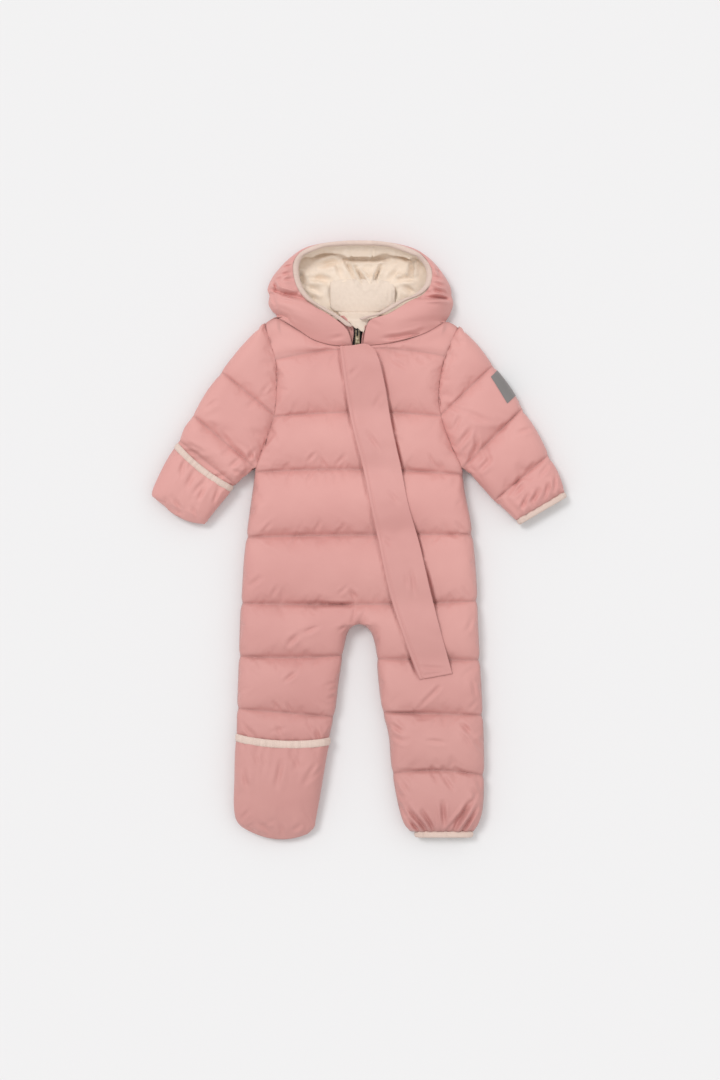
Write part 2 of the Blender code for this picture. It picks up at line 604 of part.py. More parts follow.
def mouth_curve(across):
    """The foot cover's mouth, from the outer side to the inner leg."""
    outer, inner = FOOT[0]["a"][1], FOOT[0]["b"][1]
    return three_way(outer, (outer + inner) / 2 - MOUTH_SAG, inner, across)


def build_front(finish):
    right_leg = leg_rows(RIGHT_LEG_LINES, -1)
    for curve in (raised(mouth_curve, TUCK_AHEAD), lambda across: TUCK_END):
        right_leg.append(leg_row(curve, front_height, TUCK_TOP, -1, inset=TUCK_INSET))
    left_leg = leg_rows(LEFT_LEG_LINES, 1)
    return body_panel("front", front_rows(), right_leg, left_leg, MEET + HALF_GAP, finish)


def build_back(finish):
    armhole = [mix(RIGHT_SLEEVE[k]["end"][1], RIGHT_SLEEVE[k + 1]["end"][1], share)
               for k in range(ARMHOLE_ROWS) for share in CHANNEL_STEPS[1:] + (1.0,)]
    flat = lambda across: 0.0
    rows = [torso_row(neck_curve(BACK_NECK), back_height, flat)]
    for y in (*armhole, *BACK_TORSO_ROWS):
        leg_share = BACK_LEG_SHARE if y == BACK_TORSO_ROWS[-1] else 0.0
        rows.append(torso_row(lambda across: y, back_height, flat, leg_share))
    rows.append(torso_row(line_curve(CROTCH_ROW), back_height, flat, 1.0))
    right_leg = [leg_row(lambda across: y, back_height, 0.0, -1) for y in BACK_LEG_ROWS]
    right_leg.append(leg_row(raised(mouth_curve, TUCK_AHEAD + TUCK_STEP), back_height, 0.0, -1))
    for curve in (raised(mouth_curve, TUCK_AHEAD), lambda across: TUCK_END):
        right_leg.append(leg_row(curve, back_height, TUCK_BOTTOM, -1, inset=TUCK_INSET))
    left_leg = [leg_row(lambda across: y, back_height, CUFF_LOW if y < CUFF_START else 0.0, 1)
                for y in BACK_LEG_ROWS + BACK_LEFT_ROWS]
    return body_panel("back", rows, right_leg, left_leg, MEET - HALF_GAP, finish)


# Sleeves --------------------------------------------------------------------------------

def armhole_x(side, y):
    edge = right_edge(y) if side < 0 else left_edge(y)
    return edge + side * SEAM_GAP


def sleeve_row(table, at, side):
    """Fold point, end point, top, underside and end thickness at a place along the sleeve."""
    index = min(int(at), len(table) - 2)
    share = at - index
    first, second = table[index], table[index + 1]
    fold = mix_point(first["fold"], second["fold"], share)
    end = mix_point(first["end"], second["end"], share)
    along = Vector(second["fold"]) - Vector(first["fold"])
    across = Vector((along.y, -along.x)).normalized() * (1 if side < 0 else -1)
    if across.dot(Vector(fold) - Vector(end)) < 0:
        across = -across
    fold = tuple(Vector(fold) + across * SLEEVE_BULGE * 4 * share * (1 - share))
    if index < ARMHOLE_ROWS:
        end = (armhole_x(side, end[1]), end[1])
    base = mix(first["top"], second["top"], share)
    top = base + max(second["puff"] - base, 0.0) * pillow(share)
    under = second["under"] if share > 0.5 else first["under"]
    sewn = at <= ARMHOLE_ROWS
    return fold, end, top, under, sewn


def sleeve_section(row):
    """Points of one section: upper layer from its end to the fold, then the lower layer back."""
    fold, end, top, under, sewn = row
    width = math.hypot(end[0] - fold[0], end[1] - fold[1])
    radius = min(SLEEVE_ROUND, width * 0.45)    # a narrow section rounds over less
    end_edge = SEWN_EDGE if sewn else SIDE_EDGE
    wall_in = min(SLEEVE_WALL, width * 0.3)

    def pocket(share):
        """Place along the section and half height of the flat space inside at a column."""
        inside = max(share, wall_in / width)
        if share > SEAM_SHARE:
            return inside, HALF_GAP
        return inside, HALF_GAP * 3 * rounding(inside * width - wall_in, POCKET_ROUND)

    outer, inner = [], []
    for share in reversed(SLEEVE_COLUMNS):
        near_fold = rounding(share * width, radius)
        near_end = rounding((1 - share) * width, radius)
        upper = MEET + (end_edge + HALF_GAP) * (1 - near_end) * (1.0 if share > 0.5 else 0.0)
        height = mix(upper, max(top, upper), min(near_fold, near_end))
        outer.append((*mix_point(fold, end, share), height))
        inside, gap = pocket(share)
        inner.append((*mix_point(fold, end, inside), MEET + gap))
    for share in SLEEVE_COLUMNS[1:]:
        near_fold = rounding(share * width, min(BACK_ROUND, radius))
        near_end = 1.0 if sewn else rounding((1 - share) * width, BACK_ROUND)
        side_seam = MEET - (HALF_GAP + SIDE_EDGE if share > 0.5 else 0.0)
        outer.append((*mix_point(fold, end, share), mix(side_seam, under, min(near_fold, near_end))))
        inside, gap = pocket(share)
        inner.append((*mix_point(fold, end, inside), MEET - gap))
    return outer, inner


def tucked_rows(cover_row):
    """End rows of the right sleeve inside the mitten's mouth."""
    a, b = Vector(cover_row["a"]), Vector(cover_row["b"])
    along = (b - a).normalized()
    past = Vector((along.y, -along.x))
    rows = []
    for reach in RIGHT_TUCK_REACH:
        fold = a + along * TUCK_INSET + past * reach
        end = b - along * TUCK_INSET + past * reach
        rows.append((tuple(fold), tuple(end), RIGHT_TUCK_TOP, TUCK_BOTTOM, False))
    return rows


def build_sleeve(name, table, tuck, side, finish):
    sections = []
    for channel in range(len(table) - 1):
        for share in CHANNEL_STEPS:
            sections.append(sleeve_section(sleeve_row(table, channel + share, side)))
    sections.append(sleeve_section(sleeve_row(table, len(table) - 1, side)))
    sections += [sleeve_section(row) for row in tuck]
    return wall(name, [s[0] for s in sections], [s[1] for s in sections], finish)


def build_patch(finish):
    """Patch over the left sleeve's fold: its section's points between two columns, moved out."""
    middle = len(SLEEVE_COLUMNS) - 1
    chosen = range(middle - 3, middle + 2)
    near, far = [], []
    for at in PATCH_ALONG:
        row = sleeve_row(LEFT_SLEEVE, at, 1)
        outer, _ = sleeve_section(row)
        out = (Vector(row[0]) - Vector(row[1])).normalized()
        rows = ([], [])
        for index in chosen:
            before, here, after = (Vector(outer[index + k]) for k in (-1, 0, 1))
            run = after - before
            flat = Vector((run.x, run.y)).dot(out)
            normal = Vector((*(out * -run.z), flat)).normalized()
            if normal.dot(Vector((*out, 0.0))) < 0:
                normal = -normal
            for points, lift in zip(rows, (PATCH_LIFT, PATCH_LIFT + PATCH_THICK)):
                points.append(tuple(here + normal * lift))
        near.append(rows[0])
        far.append(rows[1])
    return wall("sleeve_patch", far, near, finish)


# Mitten cover, foot cover and their bindings --------------------------------------------

def cover_ring(row, sag=0.0, inset=0.0, low=None, top=None):
    """Closed flat ring: upper side from fold a to fold b, then the lower side back."""
    a, b = Vector(row["a"]), Vector(row["b"])
    along = (b - a).normalized()
    a, b = a + along * inset, b - along * inset
    width = (b - a).length
    low = row["low"] if low is None else low
    top = row["top"] if top is None else top
    radius = min(COVER_ROUND, width * 0.4)
    down = Vector((along.y, -along.x))
    points = []
    for share in COVER_COLUMNS:
        depth = min(rounding(share * width, radius), rounding((1 - share) * width, radius))
        place = mix_point(a, b, share)
        shift = down * sag * 4 * share * (1 - share)
        points.append((place[0] + shift.x, place[1] + shift.y, mix(MEET, top, depth)))
    for share in reversed(COVER_COLUMNS[1:-1]):
        depth = min(rounding(share * width, BACK_ROUND), rounding((1 - share) * width, BACK_ROUND))
        place = mix_point(a, b, share)
        shift = down * sag * 4 * share * (1 - share)
        points.append((place[0] + shift.x, place[1] + shift.y, mix(MEET, low, depth)))
    return points


def between_rows(first, second, share):
    return dict(a=mix_point(first["a"], second["a"], share), b=mix_point(first["b"], second["b"], share),
                low=mix(first["low"], second["low"], share), top=mix(first["top"], second["top"], share))


def build_cover(name, table, mouth_sag, slot, finish):
    """Flat pocket whose mouth takes the end of a sleeve or leg; slot = inside heights."""
    outer = []
    last = len(table) - 1
    for index, row in enumerate(table):
        sag = mouth_sag * max(1.0 - index / 2.0, 0.0)
        sag += TIP_BULGE * max(index - (last - 2), 0)
        outer.append(cover_ring(row, sag))
        if 0 < index < last - 2:
            half = between_rows(row, table[index + 1], 0.5)
            outer.append(cover_ring(half, mouth_sag * max(1.0 - (index + 0.5) / 2.0, 0.0)))
    inner = []
    for index in range(COVER_DEPTH):
        sag = mouth_sag * max(1.0 - index / 2.0, 0.0)
        inner.append(cover_ring(table[index], sag, COVER_WALL, slot[0], slot[1]))
    return tube(name, outer, inner, finish, deep_end=True)


def swept_band(name, centres, outs, ups, half_width, half_thick, finish):
    """Rounded band along a path: outs and ups are the directions of its width and thickness."""
    rings = []
    for centre, out, up in zip(centres, outs, ups):
        ring = []
        for k in range(BAND_SIDES):
            turn = math.tau * (k + 0.5) / BAND_SIDES
            ring.append(tuple(Vector(centre) + Vector(out) * math.cos(turn) * half_width
                              + Vector(up) * math.sin(turn) * half_thick))
        rings.append(ring)
    count = BAND_SIDES
    vertices = [point for ring in rings for point in ring]
    faces = []
    for r in range(len(rings) - 1):
        for k in range(count):
            n = (k + 1) % count
            faces.append((r * count + k, r * count + n, (r + 1) * count + n, (r + 1) * count + k))
    faces.append(list(range(count)))
    faces.append([(len(rings) - 1) * count + k for k in range(count)])
    return make_object(name, vertices, faces, finish)


def build_mouth_binding(name, row, sag, finish):
    """Binding along the upper edge of a cover's mouth, just ahead of it."""
    ring = cover_ring(row, sag)[:len(COVER_COLUMNS)]
    a, b = Vector(row["a"]), Vector(row["b"])
    along = (b - a).normalized()
    ahead = Vector((-along.y, along.x, 0.0))
    centres, outs, ups = [], [], []
    for index, point in enumerate(ring):
        before, after = Vector(ring[max(index - 1, 0)]), Vector(ring[min(index + 1, len(ring) - 1)])
        run = (after - before).normalized()
        out = (ahead - run * ahead.dot(run)).normalized()
        up = run.cross(out)
        if up.z < 0:
            up = -up
        centres.append(Vector(point) + out * (BINDING_HALF_WIDTH + CLOTH_GAP) - up * BINDING_SUNK)
        outs.append(out)
        ups.append(up)
    return swept_band(name, centres[1:-1], outs[1:-1], ups[1:-1], BINDING_HALF_WIDTH, MOUTH_HALF_THICK,
                      finish)


def build_cuff_binding(name, a, b, low, top, finish):
    """Binding round an open, flat cuff: a rounded ring with a thin slit through it."""
    along = (Vector(b) - Vector(a)).normalized()
    outward = Vector((along.y, -along.x))
    a, b = Vector(a) + outward * SEAM_GAP, Vector(b) + outward * SEAM_GAP
    row = dict(a=tuple(a), b=tuple(b), low=low, top=top)
    rings = []
    for shift, grow in CUFF_RINGS:
        ring = cover_ring(row, 0.0, -grow, low - grow * GROWTH_BELOW, top + grow)
        rings.append([(x + outward.x * shift, y + outward.y * shift, z) for x, y, z in ring])
    slot = []
    for shift in (CUFF_RINGS[0][0], CUFF_RINGS[-1][0]):
        ring = cover_ring(row, 0.0, CUFF_SLIT_INSET, MEET - CUFF_SLIT, MEET + CUFF_SLIT)
        slot.append([(x + outward.x * shift, y + outward.y * shift, z) for x, y, z in ring])
    return tube(name, rings, slot, finish, deep_end=False)


# Hood -----------------------------------------------------------------------------------

def hood_value(table, key, at):
    values = [row[key] if isinstance(row[key], tuple) else (row[key],) for row in table]
    return smooth_point(values, at)


def front_neck_y(x):
    """The front's neck edge as it is built, straight between the torso's columns."""
    columns = torso_positions(FRONT_NECK[0][0], FRONT_NECK[-1][0], 0.0)
    index = max((k for k in range(len(columns) - 1) if columns[k] <= x), default=0)
    first, last = columns[index], columns[index + 1]
    share = (x - first) / (last - first)
    return mix(smooth_value(FRONT_NECK, first), smooth_value(FRONT_NECK, last), share)


def neck_shift(table, at, share):
    """How far a section leaves a straight run to follow the neck seam's curve."""
    last = len(table) - 1
    index = min(int(at), last - 1)
    blend = mix(NECK_BLEND.get(index, 0.0), NECK_BLEND.get(index + 1, 0.0), at - index)
    start, end = table[-1]["out"], table[-1]["rim"]
    x, straight = mix(start[0], end[0], share), mix(start[1], end[1], share)
    return (front_neck_y(x) + NECK_GAP - straight) * blend


def hood_section(table, at, wall_share, extra):
    """One section of a hood surface, moved in from the outer face by a share of the wall and more.

    Gives points from the centre panel's seam along the surface, round the fold and up to the rim.
    """
    out, rim = Vector(hood_value(table, "out", at)), Vector(hood_value(table, "rim", at))
    seam = Vector((math.copysign(STRIP_HALF + CLOTH_GAP, out.x), hood_value(table, "seam", at)[0]))
    crest, rim_top = hood_value(table, "crest", at), hood_value(table, "rimTop", at)[0]
    depth = hood_value(table, "wall", at)[0] * wall_share + extra
    rim_depth = RIM_WALL * wall_share + extra
    floor_run, over_run = (seam - out).length, (rim - out).length
    contact = min(max(CONTACT, depth + MIN_TURN), floor_run * MAX_CONTACT)
    turn = [Vector((contact, depth)), None, None, None]
    top = Vector((min(crest[0], over_run * MAX_CREST), crest[1]))
    end = Vector((over_run, rim_top))
    lean = (end - Vector((0.0, SHOULDER * crest[1]))).normalized()
    turn[2] = top + Vector((lean.y, -lean.x)) * mix(depth, rim_depth, CREST_THIN)
    lean = (end - top).normalized()
    turn[3] = end + Vector((lean.y, -lean.x)) * rim_depth
    turn[2].x = min(turn[2].x, max(turn[3].x - MIN_TURN, depth))
    drop = extra + CLOTH_GAP if extra > 0.0 else 0.0
    if at > NECK_START:
        lowest = NECK_FLOOR - drop + (0.0 if wall_share else NECK_WALL)
        share = min(at - NECK_START, 1.0)
        for point in turn[2:]:
            point.y = mix(point.y, max(point.y, lowest), share)
    turn[1] = Vector((depth, mix(depth, turn[2].y, SHOULDER)))
    curve = [turn[0] + Vector((CONTACT * 0.5, 0.0)), *turn]
    places = [Vector((mix(floor_run, contact, k / FLOOR_POINTS), depth)) for k in range(FLOOR_POINTS)]
    places += [Vector(smooth_point([tuple(p) for p in curve], 1 + 3 * k / OVER_POINTS))
               for k in range(OVER_POINTS + 1)]
    points = []
    for place in places:
        low = out.lerp(seam, place.x / floor_run)
        share = place.x / over_run
        high = out.lerp(rim, share)
        high.y += neck_shift(table, at, min(max(share, 0.0), 1.0))
        rise = min(max((place.y - MEET) / LEAN_RISE, 0.0), 1.0)
        x, y = low.lerp(high, rise)
        points.append((x, y, place.y))
    return points


def build_hood_side(name, table, start, end, finish):
    """Side panel between two depths; start and end are (share of the wall, further depth)."""
    outer = [hood_section(table, at, *start) for at in HOOD_PLACES]
    inner = [hood_section(table, at, *end) for at in HOOD_PLACES]
    return wall(name, outer, inner, finish)


def build_hood_centre(name, start, end, finish):
    """Centre panel: the side panel's first section, swept across the strip and down the back."""
    def row(x, depth):
        section = hood_section(HOOD_RIGHT, 0.0, *depth)[FLOOR_POINTS:]
        floor = section[0][2]
        back = [(x, y, floor) for y in CENTRE_ROWS]
        return back + [(x, y, z) for _, y, z in section]

    columns = (-STRIP_HALF + CLOTH_GAP, 0.0, STRIP_HALF - CLOTH_GAP)
    outer = [row(x, start) for x in columns]
    inner = [row(x, end) for x in columns]
    return wall(name, outer, inner, finish)


def rim_frames(table):
    """Middle of the rim's thickness, its inward direction and its thickness direction."""
    frames = []
    for at in HOOD_PLACES[:-2]:
        top = [Vector(point) for point in hood_section(table, at, 0.0, 0.0)[-2:]]
        low = [Vector(point) for point in hood_section(table, at, 1.0, LINING + CLOTH_GAP)[-2:]]
        middle = (top[1] + low[1]) / 2
        inward = (top[1] - top[0]).normalized()
        up = top[1] - low[1]
        up = (up - inward * up.dot(inward)).normalized()
        frames.append((middle + inward * (BINDING_HALF_WIDTH + BINDING_GAP), inward, up))
    return frames


def build_hood_binding(finish):
    right, left = rim_frames(HOOD_RIGHT), rim_frames(HOOD_LEFT)
    frames = list(reversed(right)) + left
    centres, outs, ups = zip(*frames)
    return swept_band("hood_binding", centres, outs, ups, BINDING_HALF_WIDTH, BINDING_HALF_THICK, finish)


def build_facing(finish):
    floor = hood_section(HOOD_RIGHT, FACING_PLACE, 1.0, CLOTH_GAP + LINING)[0][2] + CLOTH_GAP
    upper, lower = [], []
    for x, top, bottom in FACING:
        places = [(x, mix(bottom, top, share)) for share in FACING_STEPS]
        upper.append([(*place, floor + FACING_THICK) for place in places])
        lower.append([(*place, floor) for place in places])
    return wall("neck_facing", upper, lower, finish)


def plate(name, corners, low, high, finish):
    """Flat plate between two heights with the given corners."""
    count = len(corners)
    vertices = [(*corner, z) for z in (low, high) for corner in corners]
    faces = [list(range(count)), [count + k for k in range(count)]]
    faces += [(k, (k + 1) % count, count + (k + 1) % count, count + k) for k in range(count)]
    return make_object(name, vertices, faces, finish)


# Zip ------------------------------------------------------------------------------------

def build_tape(finish):
    """Both tapes and the closed coil between them, between the hood's front edges."""
    low, high, crown = TAPE_LOW, TAPE_HIGH, COIL_HALF * COIL_CROWN
    sections = []
    for y, first, last in TAPE_ROWS:
        sections.append([(first, y, low), (first, y, high), (ZIP_X - COIL_HALF, y, high),
                         (ZIP_X - crown, y, COIL_TOP), (ZIP_X + crown, y, COIL_TOP),
                         (ZIP_X + COIL_HALF, y, high), (last, y, high), (last, y, low)])
    count = len(sections[0])
    vertices = [point for section in sections for point in section]
    faces = [list(range(count)), [2 * count + k for k in range(count)]]
    for r in range(2):
        for k in range(count):
            n = (k + 1) % count
            faces.append((r * count + k, r * count + n, (r + 1) * count + n, (r + 1) * count + k))
    return make_object("zip_tape", vertices, faces, finish)


def box(name, low, high, finish, bevel=0.0, segments=1, origin=(0.0, 0.0, 0.0)):
    """Box between two corners, with its object's origin at the given point."""
    shape = bmesh.new()
    size = [b - a for a, b in zip(low, high)]
    middle = [(a + b) / 2 - c for a, b, c in zip(low, high, origin)]
    bmesh.ops.create_cube(shape, size=1.0)
    bmesh.ops.scale(shape, vec=Vector(size) * MM, verts=shape.verts)
    bmesh.ops.translate(shape, vec=Vector(middle) * MM, verts=shape.verts)
    if bevel:
        bmesh.ops.bevel(shape, geom=shape.edges[:], offset=bevel * MM, segments=segments,
                        profile=0.5, affect="EDGES")
    mesh = bpy.data.meshes.new(name)
    shape.to_mesh(mesh)
    shape.free()
    mesh.materials.append(finish)
    thing = bpy.data.objects.new(name, mesh)
    thing.location = Vector(origin) * MM
    bpy.context.collection.objects.link(thing)
    return thing


def cut(thing, cutter, operation):
    """Boolean with a guide object that stays out of the model."""
    change = thing.modifiers.new(cutter.name, "BOOLEAN")
    change.operation = operation
    change.object = cutter
    change.solver = "EXACT"
    cutter.hide_render = True
    cutter.display_type = "WIRE"


def build_slider(finish):
    width, length, low, high = SLIDER
    body = box("zip_slider", (ZIP_X - width / 2, SLIDER_Y - length / 2, low),
               (ZIP_X + width / 2, SLIDER_Y + length / 2, high), finish, 1.0, 2)
    thick, outer, inner = BRIDGE
    arch = box("bridge_guide", (ZIP_X - thick / 2, SLIDER_Y + BRIDGE_ENDS[0], high - BRIDGE_SUNK),
               (ZIP_X + thick / 2, SLIDER_Y + BRIDGE_ENDS[1], outer), finish, 0.5)
    hole = box("bridge_hole", (ZIP_X - CUT_REACH, SLIDER_Y + HOLE_ENDS[0], high),
               (ZIP_X + CUT_REACH, SLIDER_Y + HOLE_ENDS[1], inner), finish)
    cut(arch, hole, "DIFFERENCE")
    cut(body, arch, "UNION")


def build_pull(finish):
    """Pull tab with a window, turning on its end bar under the slider's bridge."""
    width, length, thick = PULL
    top_y = HINGE[1] + END_BAR / 2
    blade = box("zip_pull", (ZIP_X - width / 2, top_y - length, HINGE[2] - thick / 2),
                (ZIP_X + width / 2, top_y, HINGE[2] + thick / 2), finish, 0.5, origin=HINGE)
    window_top = top_y - END_BAR
    window = box("pull_window", (ZIP_X - WINDOW[0] / 2, window_top - WINDOW[1], HINGE[2] - CUT_REACH),
                 (ZIP_X + WINDOW[0] / 2, window_top, HINGE[2] + CUT_REACH), finish)
    cut(blade, window, "DIFFERENCE")


# Placket --------------------------------------------------------------------------------

def build_placket(front, finish):
    """Flap over the zip: the front's own height under each point, moved up."""
    cloth = bmesh.new()
    cloth.from_mesh(front.data)
    bmesh.ops.triangulate(cloth, faces=cloth.faces)
    tree = BVHTree.FromBMesh(cloth)
    cloth.free()

    def height(x, y):
        best = MEET
        for dx in FEEL_ACROSS:
            for dy in FEEL_ALONG:
                start = Vector((x + dx, y + dy, FEEL_FROM)) * MM
                hit = tree.ray_cast(start, Vector((0.0, 0.0, -1.0)))[0]
                if hit is not None:
                    best = max(best, hit.z / MM)
        return best

    rights = [(row["xRight"], row["yRight"]) for row in PLACKET]
    lefts = [(row["xLeft"], row["yLeft"]) for row in PLACKET]
    upper, lower = [], []
    for k in range(PLACKET_STEPS + 1):
        at = (len(PLACKET) - 1) * k / PLACKET_STEPS
        a, b = smooth_point(rights, at), smooth_point(lefts, at)
        top_row, low_row = [], []
        for share in PLACKET_COLUMNS:
            x, y = mix_point(a, b, share)
            base = height(x, y) + PLACKET_GAP
            thin = PLACKET_EDGE if share in (0.0, 1.0) else 1.0
            low_row.append((x, y, base))
            top_row.append((x, y, base + PLACKET_THICK * thin))
        upper.append(top_row)
        lower.append(low_row)
    return wall("placket", upper, lower, finish)


def build_suit():
    clear_scene()
    shell = material("padded_shell", PINK, 0.55)
    cream = material("binding", CREAM, 0.7)
    fleece = material("fleece", FLEECE, 0.95)
    grey = material("reflective", GREY, 0.4)
    black = material("zip_metal", BLACK, 0.35, 0.6)
    beige = material("pull_metal", BEIGE, 0.4, 0.5)
    front = build_front(shell)
    build_back(shell)
    build_sleeve("sleeve_right", RIGHT_SLEEVE, tucked_rows(MITTEN[0]), -1, shell)
    build_sleeve("sleeve_left", LEFT_SLEEVE, (), 1, shell)
    build_patch(grey)
    build_cover("mitten_cover", MITTEN, 0.0, MITTEN_SLOT, shell)
    build_cover("foot_cover", FOOT, MOUTH_SAG, FOOT_SLOT, shell)
    build_mouth_binding("mitten_binding", MITTEN[0], 0.0, cream)
    build_mouth_binding("foot_binding", FOOT[0], MOUTH_SAG, cream)
    cuff, ankle = LEFT_SLEEVE[-1], LEFT_LEG_LINES[-1]
    build_cuff_binding("cuff_binding_left", cuff["end"], cuff["fold"], CUFF_LOW, cuff["top"], cream)
    ends = [(edge(ankle[0]), ankle[0]) for edge in (left_inseam, left_edge)]
    build_cuff_binding("ankle_binding_left", *ends, CUFF_LOW, ankle[3], cream)
    shell_depths, lining_depths = ((0.0, 0.0), (1.0, 0.0)), ((1.0, CLOTH_GAP), (1.0, CLOTH_GAP + LINING))
    for side, table in (("right", HOOD_RIGHT), ("left", HOOD_LEFT)):
        build_hood_side("hood_side_" + side, table, *shell_depths, shell)
        build_hood_side("hood_lining_" + side, table, *lining_depths, fleece)
    build_hood_centre("hood_centre", *shell_depths, shell)
    build_hood_centre("hood_lining_centre", *lining_depths, fleece)
    build_hood_binding(cream)
    build_facing(fleece)
    plate("zip_guard", GUARD, *GUARD_Z, fleece)
    build_tape(black)
    build_slider(black)
    build_pull(beige)
    build_placket(front, shell)


build_suit()
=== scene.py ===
import bmesh
import bpy
import math
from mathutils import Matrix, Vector, noise
from mathutils.bvhtree import BVHTree


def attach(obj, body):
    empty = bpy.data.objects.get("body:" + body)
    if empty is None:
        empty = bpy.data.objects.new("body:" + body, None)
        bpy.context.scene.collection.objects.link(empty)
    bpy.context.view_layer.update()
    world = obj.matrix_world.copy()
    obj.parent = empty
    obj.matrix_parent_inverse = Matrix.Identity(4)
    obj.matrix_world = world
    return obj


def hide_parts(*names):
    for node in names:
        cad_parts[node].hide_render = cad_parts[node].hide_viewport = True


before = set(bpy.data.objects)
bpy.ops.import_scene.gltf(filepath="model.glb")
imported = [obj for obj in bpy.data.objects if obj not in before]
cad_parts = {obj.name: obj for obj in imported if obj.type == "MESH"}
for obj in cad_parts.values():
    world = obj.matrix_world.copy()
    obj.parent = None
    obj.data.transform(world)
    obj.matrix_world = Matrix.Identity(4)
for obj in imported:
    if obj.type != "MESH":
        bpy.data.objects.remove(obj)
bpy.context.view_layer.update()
scene = bpy.context.scene
mm = 0.001
meet = 14.0  # height at which the front layer meets the back layer


# small helpers

def mix(a, b, share):
    return a + (b - a) * share


def clamp(value, low=0.0, high=1.0):
    return min(max(value, low), high)


def ease(value):
    value = clamp(value)
    return value * value * (3 - 2 * value)


def mixPoint(a, b, share):
    return tuple(mix(p, q, share) for p, q in zip(a, b))


def named(columns, *rows):
    # rows of a table as dictionaries, by the names of its columns
    return [dict(zip(columns.split(), row)) for row in rows]


def smoothValue(table, at):
    # value on a cubic curve through (key, value) rows
    rows = sorted(table)
    if at <= rows[0][0]:
        return rows[0][1]
    if at >= rows[-1][0]:
        return rows[-1][1]
    index = max(i for i, row in enumerate(rows[:-1]) if row[0] <= at)

    def slope(i):
        low, high = max(i - 1, 0), min(i + 1, len(rows) - 1)
        return (rows[high][1] - rows[low][1]) / (rows[high][0] - rows[low][0])

    (x0, y0), (x1, y1) = rows[index], rows[index + 1]
    width = x1 - x0
    t = (at - x0) / width
    return ((2 * t ** 3 - 3 * t ** 2 + 1) * y0 + (t ** 3 - 2 * t ** 2 + t) * width * slope(index)
            + (3 * t ** 2 - 2 * t ** 3) * y1 + (t ** 3 - t ** 2) * width * slope(index + 1))


def smoothPoint(points, at):
    # Catmull-Rom through a list of points, counted from 0
    last = len(points) - 1
    index = min(int(max(at, 0)), last - 1)
    t = at - index
    p0, p1, p2, p3 = (points[min(max(index + k, 0), last)] for k in (-1, 0, 1, 2))
    return tuple(0.5 * (2 * b + (c - a) * t + (2 * a - 5 * b + 4 * c - d) * t ** 2
                        + (3 * b - a - 3 * c + d) * t ** 3)
                 for a, b, c, d in zip(p0, p1, p2, p3))


def rounding(distance, width):
    share = clamp(distance / width)
    return math.sqrt(1.0 - (1.0 - share) ** 2)


def bothSides(share, width, radius):
    return min(rounding(share * width, radius), rounding((1 - share) * width, radius))


def pillow(share):
    return math.sqrt(max(4.0 * share * (1.0 - share), 0.0))


def threeWay(left, middle, right, share):
    return (left * (1 - share) * (1 - 2 * share) + 4 * middle * share * (1 - share)
            + right * share * (2 * share - 1))


def ripple(x, y, scale, seed=0.0):
    # soft noise from -1 to 1, the same at each run
    return noise.noise(Vector((x / scale, y / scale, seed)))


def creases(strokes, x, y):
    # soft folds drawn as strokes (x0, y0, x1, y1, width, depth), each with a small lip on both sides
    lift = 0.0
    for x0, y0, x1, y1, width, depth in strokes:
        if not (min(x0, x1) - 4 * width < x < max(x0, x1) + 4 * width):
            continue
        if not (min(y0, y1) - 4 * width < y < max(y0, y1) + 4 * width):
            continue
        runX, runY = x1 - x0, y1 - y0
        length = math.hypot(runX, runY)
        t = ((x - x0) * runX + (y - y0) * runY) / length ** 2
        t = clamp(t)
        off = math.hypot(x - x0 - t * runX, y - y0 - t * runY) / width
        fade = 0.25 + 0.75 * math.sin(math.pi * clamp(t, 0.02, 0.98))
        lift += 1.35 * depth * fade * (0.42 * math.exp(-(off - 1.9) ** 2) - math.exp(-off ** 2))
    return lift


def fillGrid(shape, across, down, place, size):
    # a grid bent into place: place gives millimetres and whether the point is sewn down
    sewn = shape.verts.layers.float.get("sewn") or shape.verts.layers.float.new("sewn")
    weave = shape.loops.layers.uv.get("weave") or shape.loops.layers.uv.new("weave")
    made = bmesh.ops.create_grid(shape, x_segments=across, y_segments=down, size=0.5)
    faces = {face for corner in made["verts"] for face in corner.link_faces}
    for face in faces:
        for loop in face.loops:
            loop[weave].uv = ((loop.vert.co.x + 0.5) * size[0], (loop.vert.co.y + 0.5) * size[1])
    for corner in made["verts"]:
        x, y, z, held = place(corner.co.x + 0.5, corner.co.y + 0.5)
        corner.co = (x * mm, y * mm, z * mm)
        corner[sewn] = held
    return made["verts"]


def clothPiece(name, grids, finish, towards=None, merge=0.02, inward=False):
    # one piece of cloth from several grids; towards is the way its face looks, or None for a tube
    shape = bmesh.new()
    for across, down, place, size in grids:
        fillGrid(shape, across, down, place, size)
    bmesh.ops.remove_doubles(shape, verts=shape.verts, dist=merge * mm)
    bmesh.ops.recalc_face_normals(shape, faces=shape.faces)
    middle = sum((corner.co for corner in shape.verts), Vector()) / len(shape.verts)
    total = 0.0
    for face in shape.faces:
        way = Vector(towards) if towards else face.calc_center_median() - middle
        total += face.normal.dot(way) * face.calc_area()
    if (total < 0) != inward:
        bmesh.ops.reverse_faces(shape, faces=shape.faces)
    mesh = bpy.data.meshes.new(name)
    writeShape(shape, mesh)
    return addPiece(name, mesh, finish)


def addPiece(name, mesh, finish, body="suit"):
    piece = bpy.data.objects.new(name, mesh)
    scene.collection.objects.link(piece)
    mesh.materials.append(finish)
    mesh.shade_smooth()
    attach(piece, body)
    return piece


def surfaceBelow(piece):
    graph = bpy.context.evaluated_depsgraph_get()
    return BVHTree.FromObject(piece, graph)


def castDown(surface, x, y, height=100.0):
    # where a ray that goes down from a height in millimetres meets a surface
    return surface.ray_cast(Vector((x, y, height)) * mm, Vector((0.0, 0.0, -1.0)))[0]


def writeShape(shape, mesh):
    shape.to_mesh(mesh)
    shape.free()


def readShape(piece):
    shape = bmesh.new()
    shape.from_mesh(piece.data)
    return shape


# shader nodes and groups

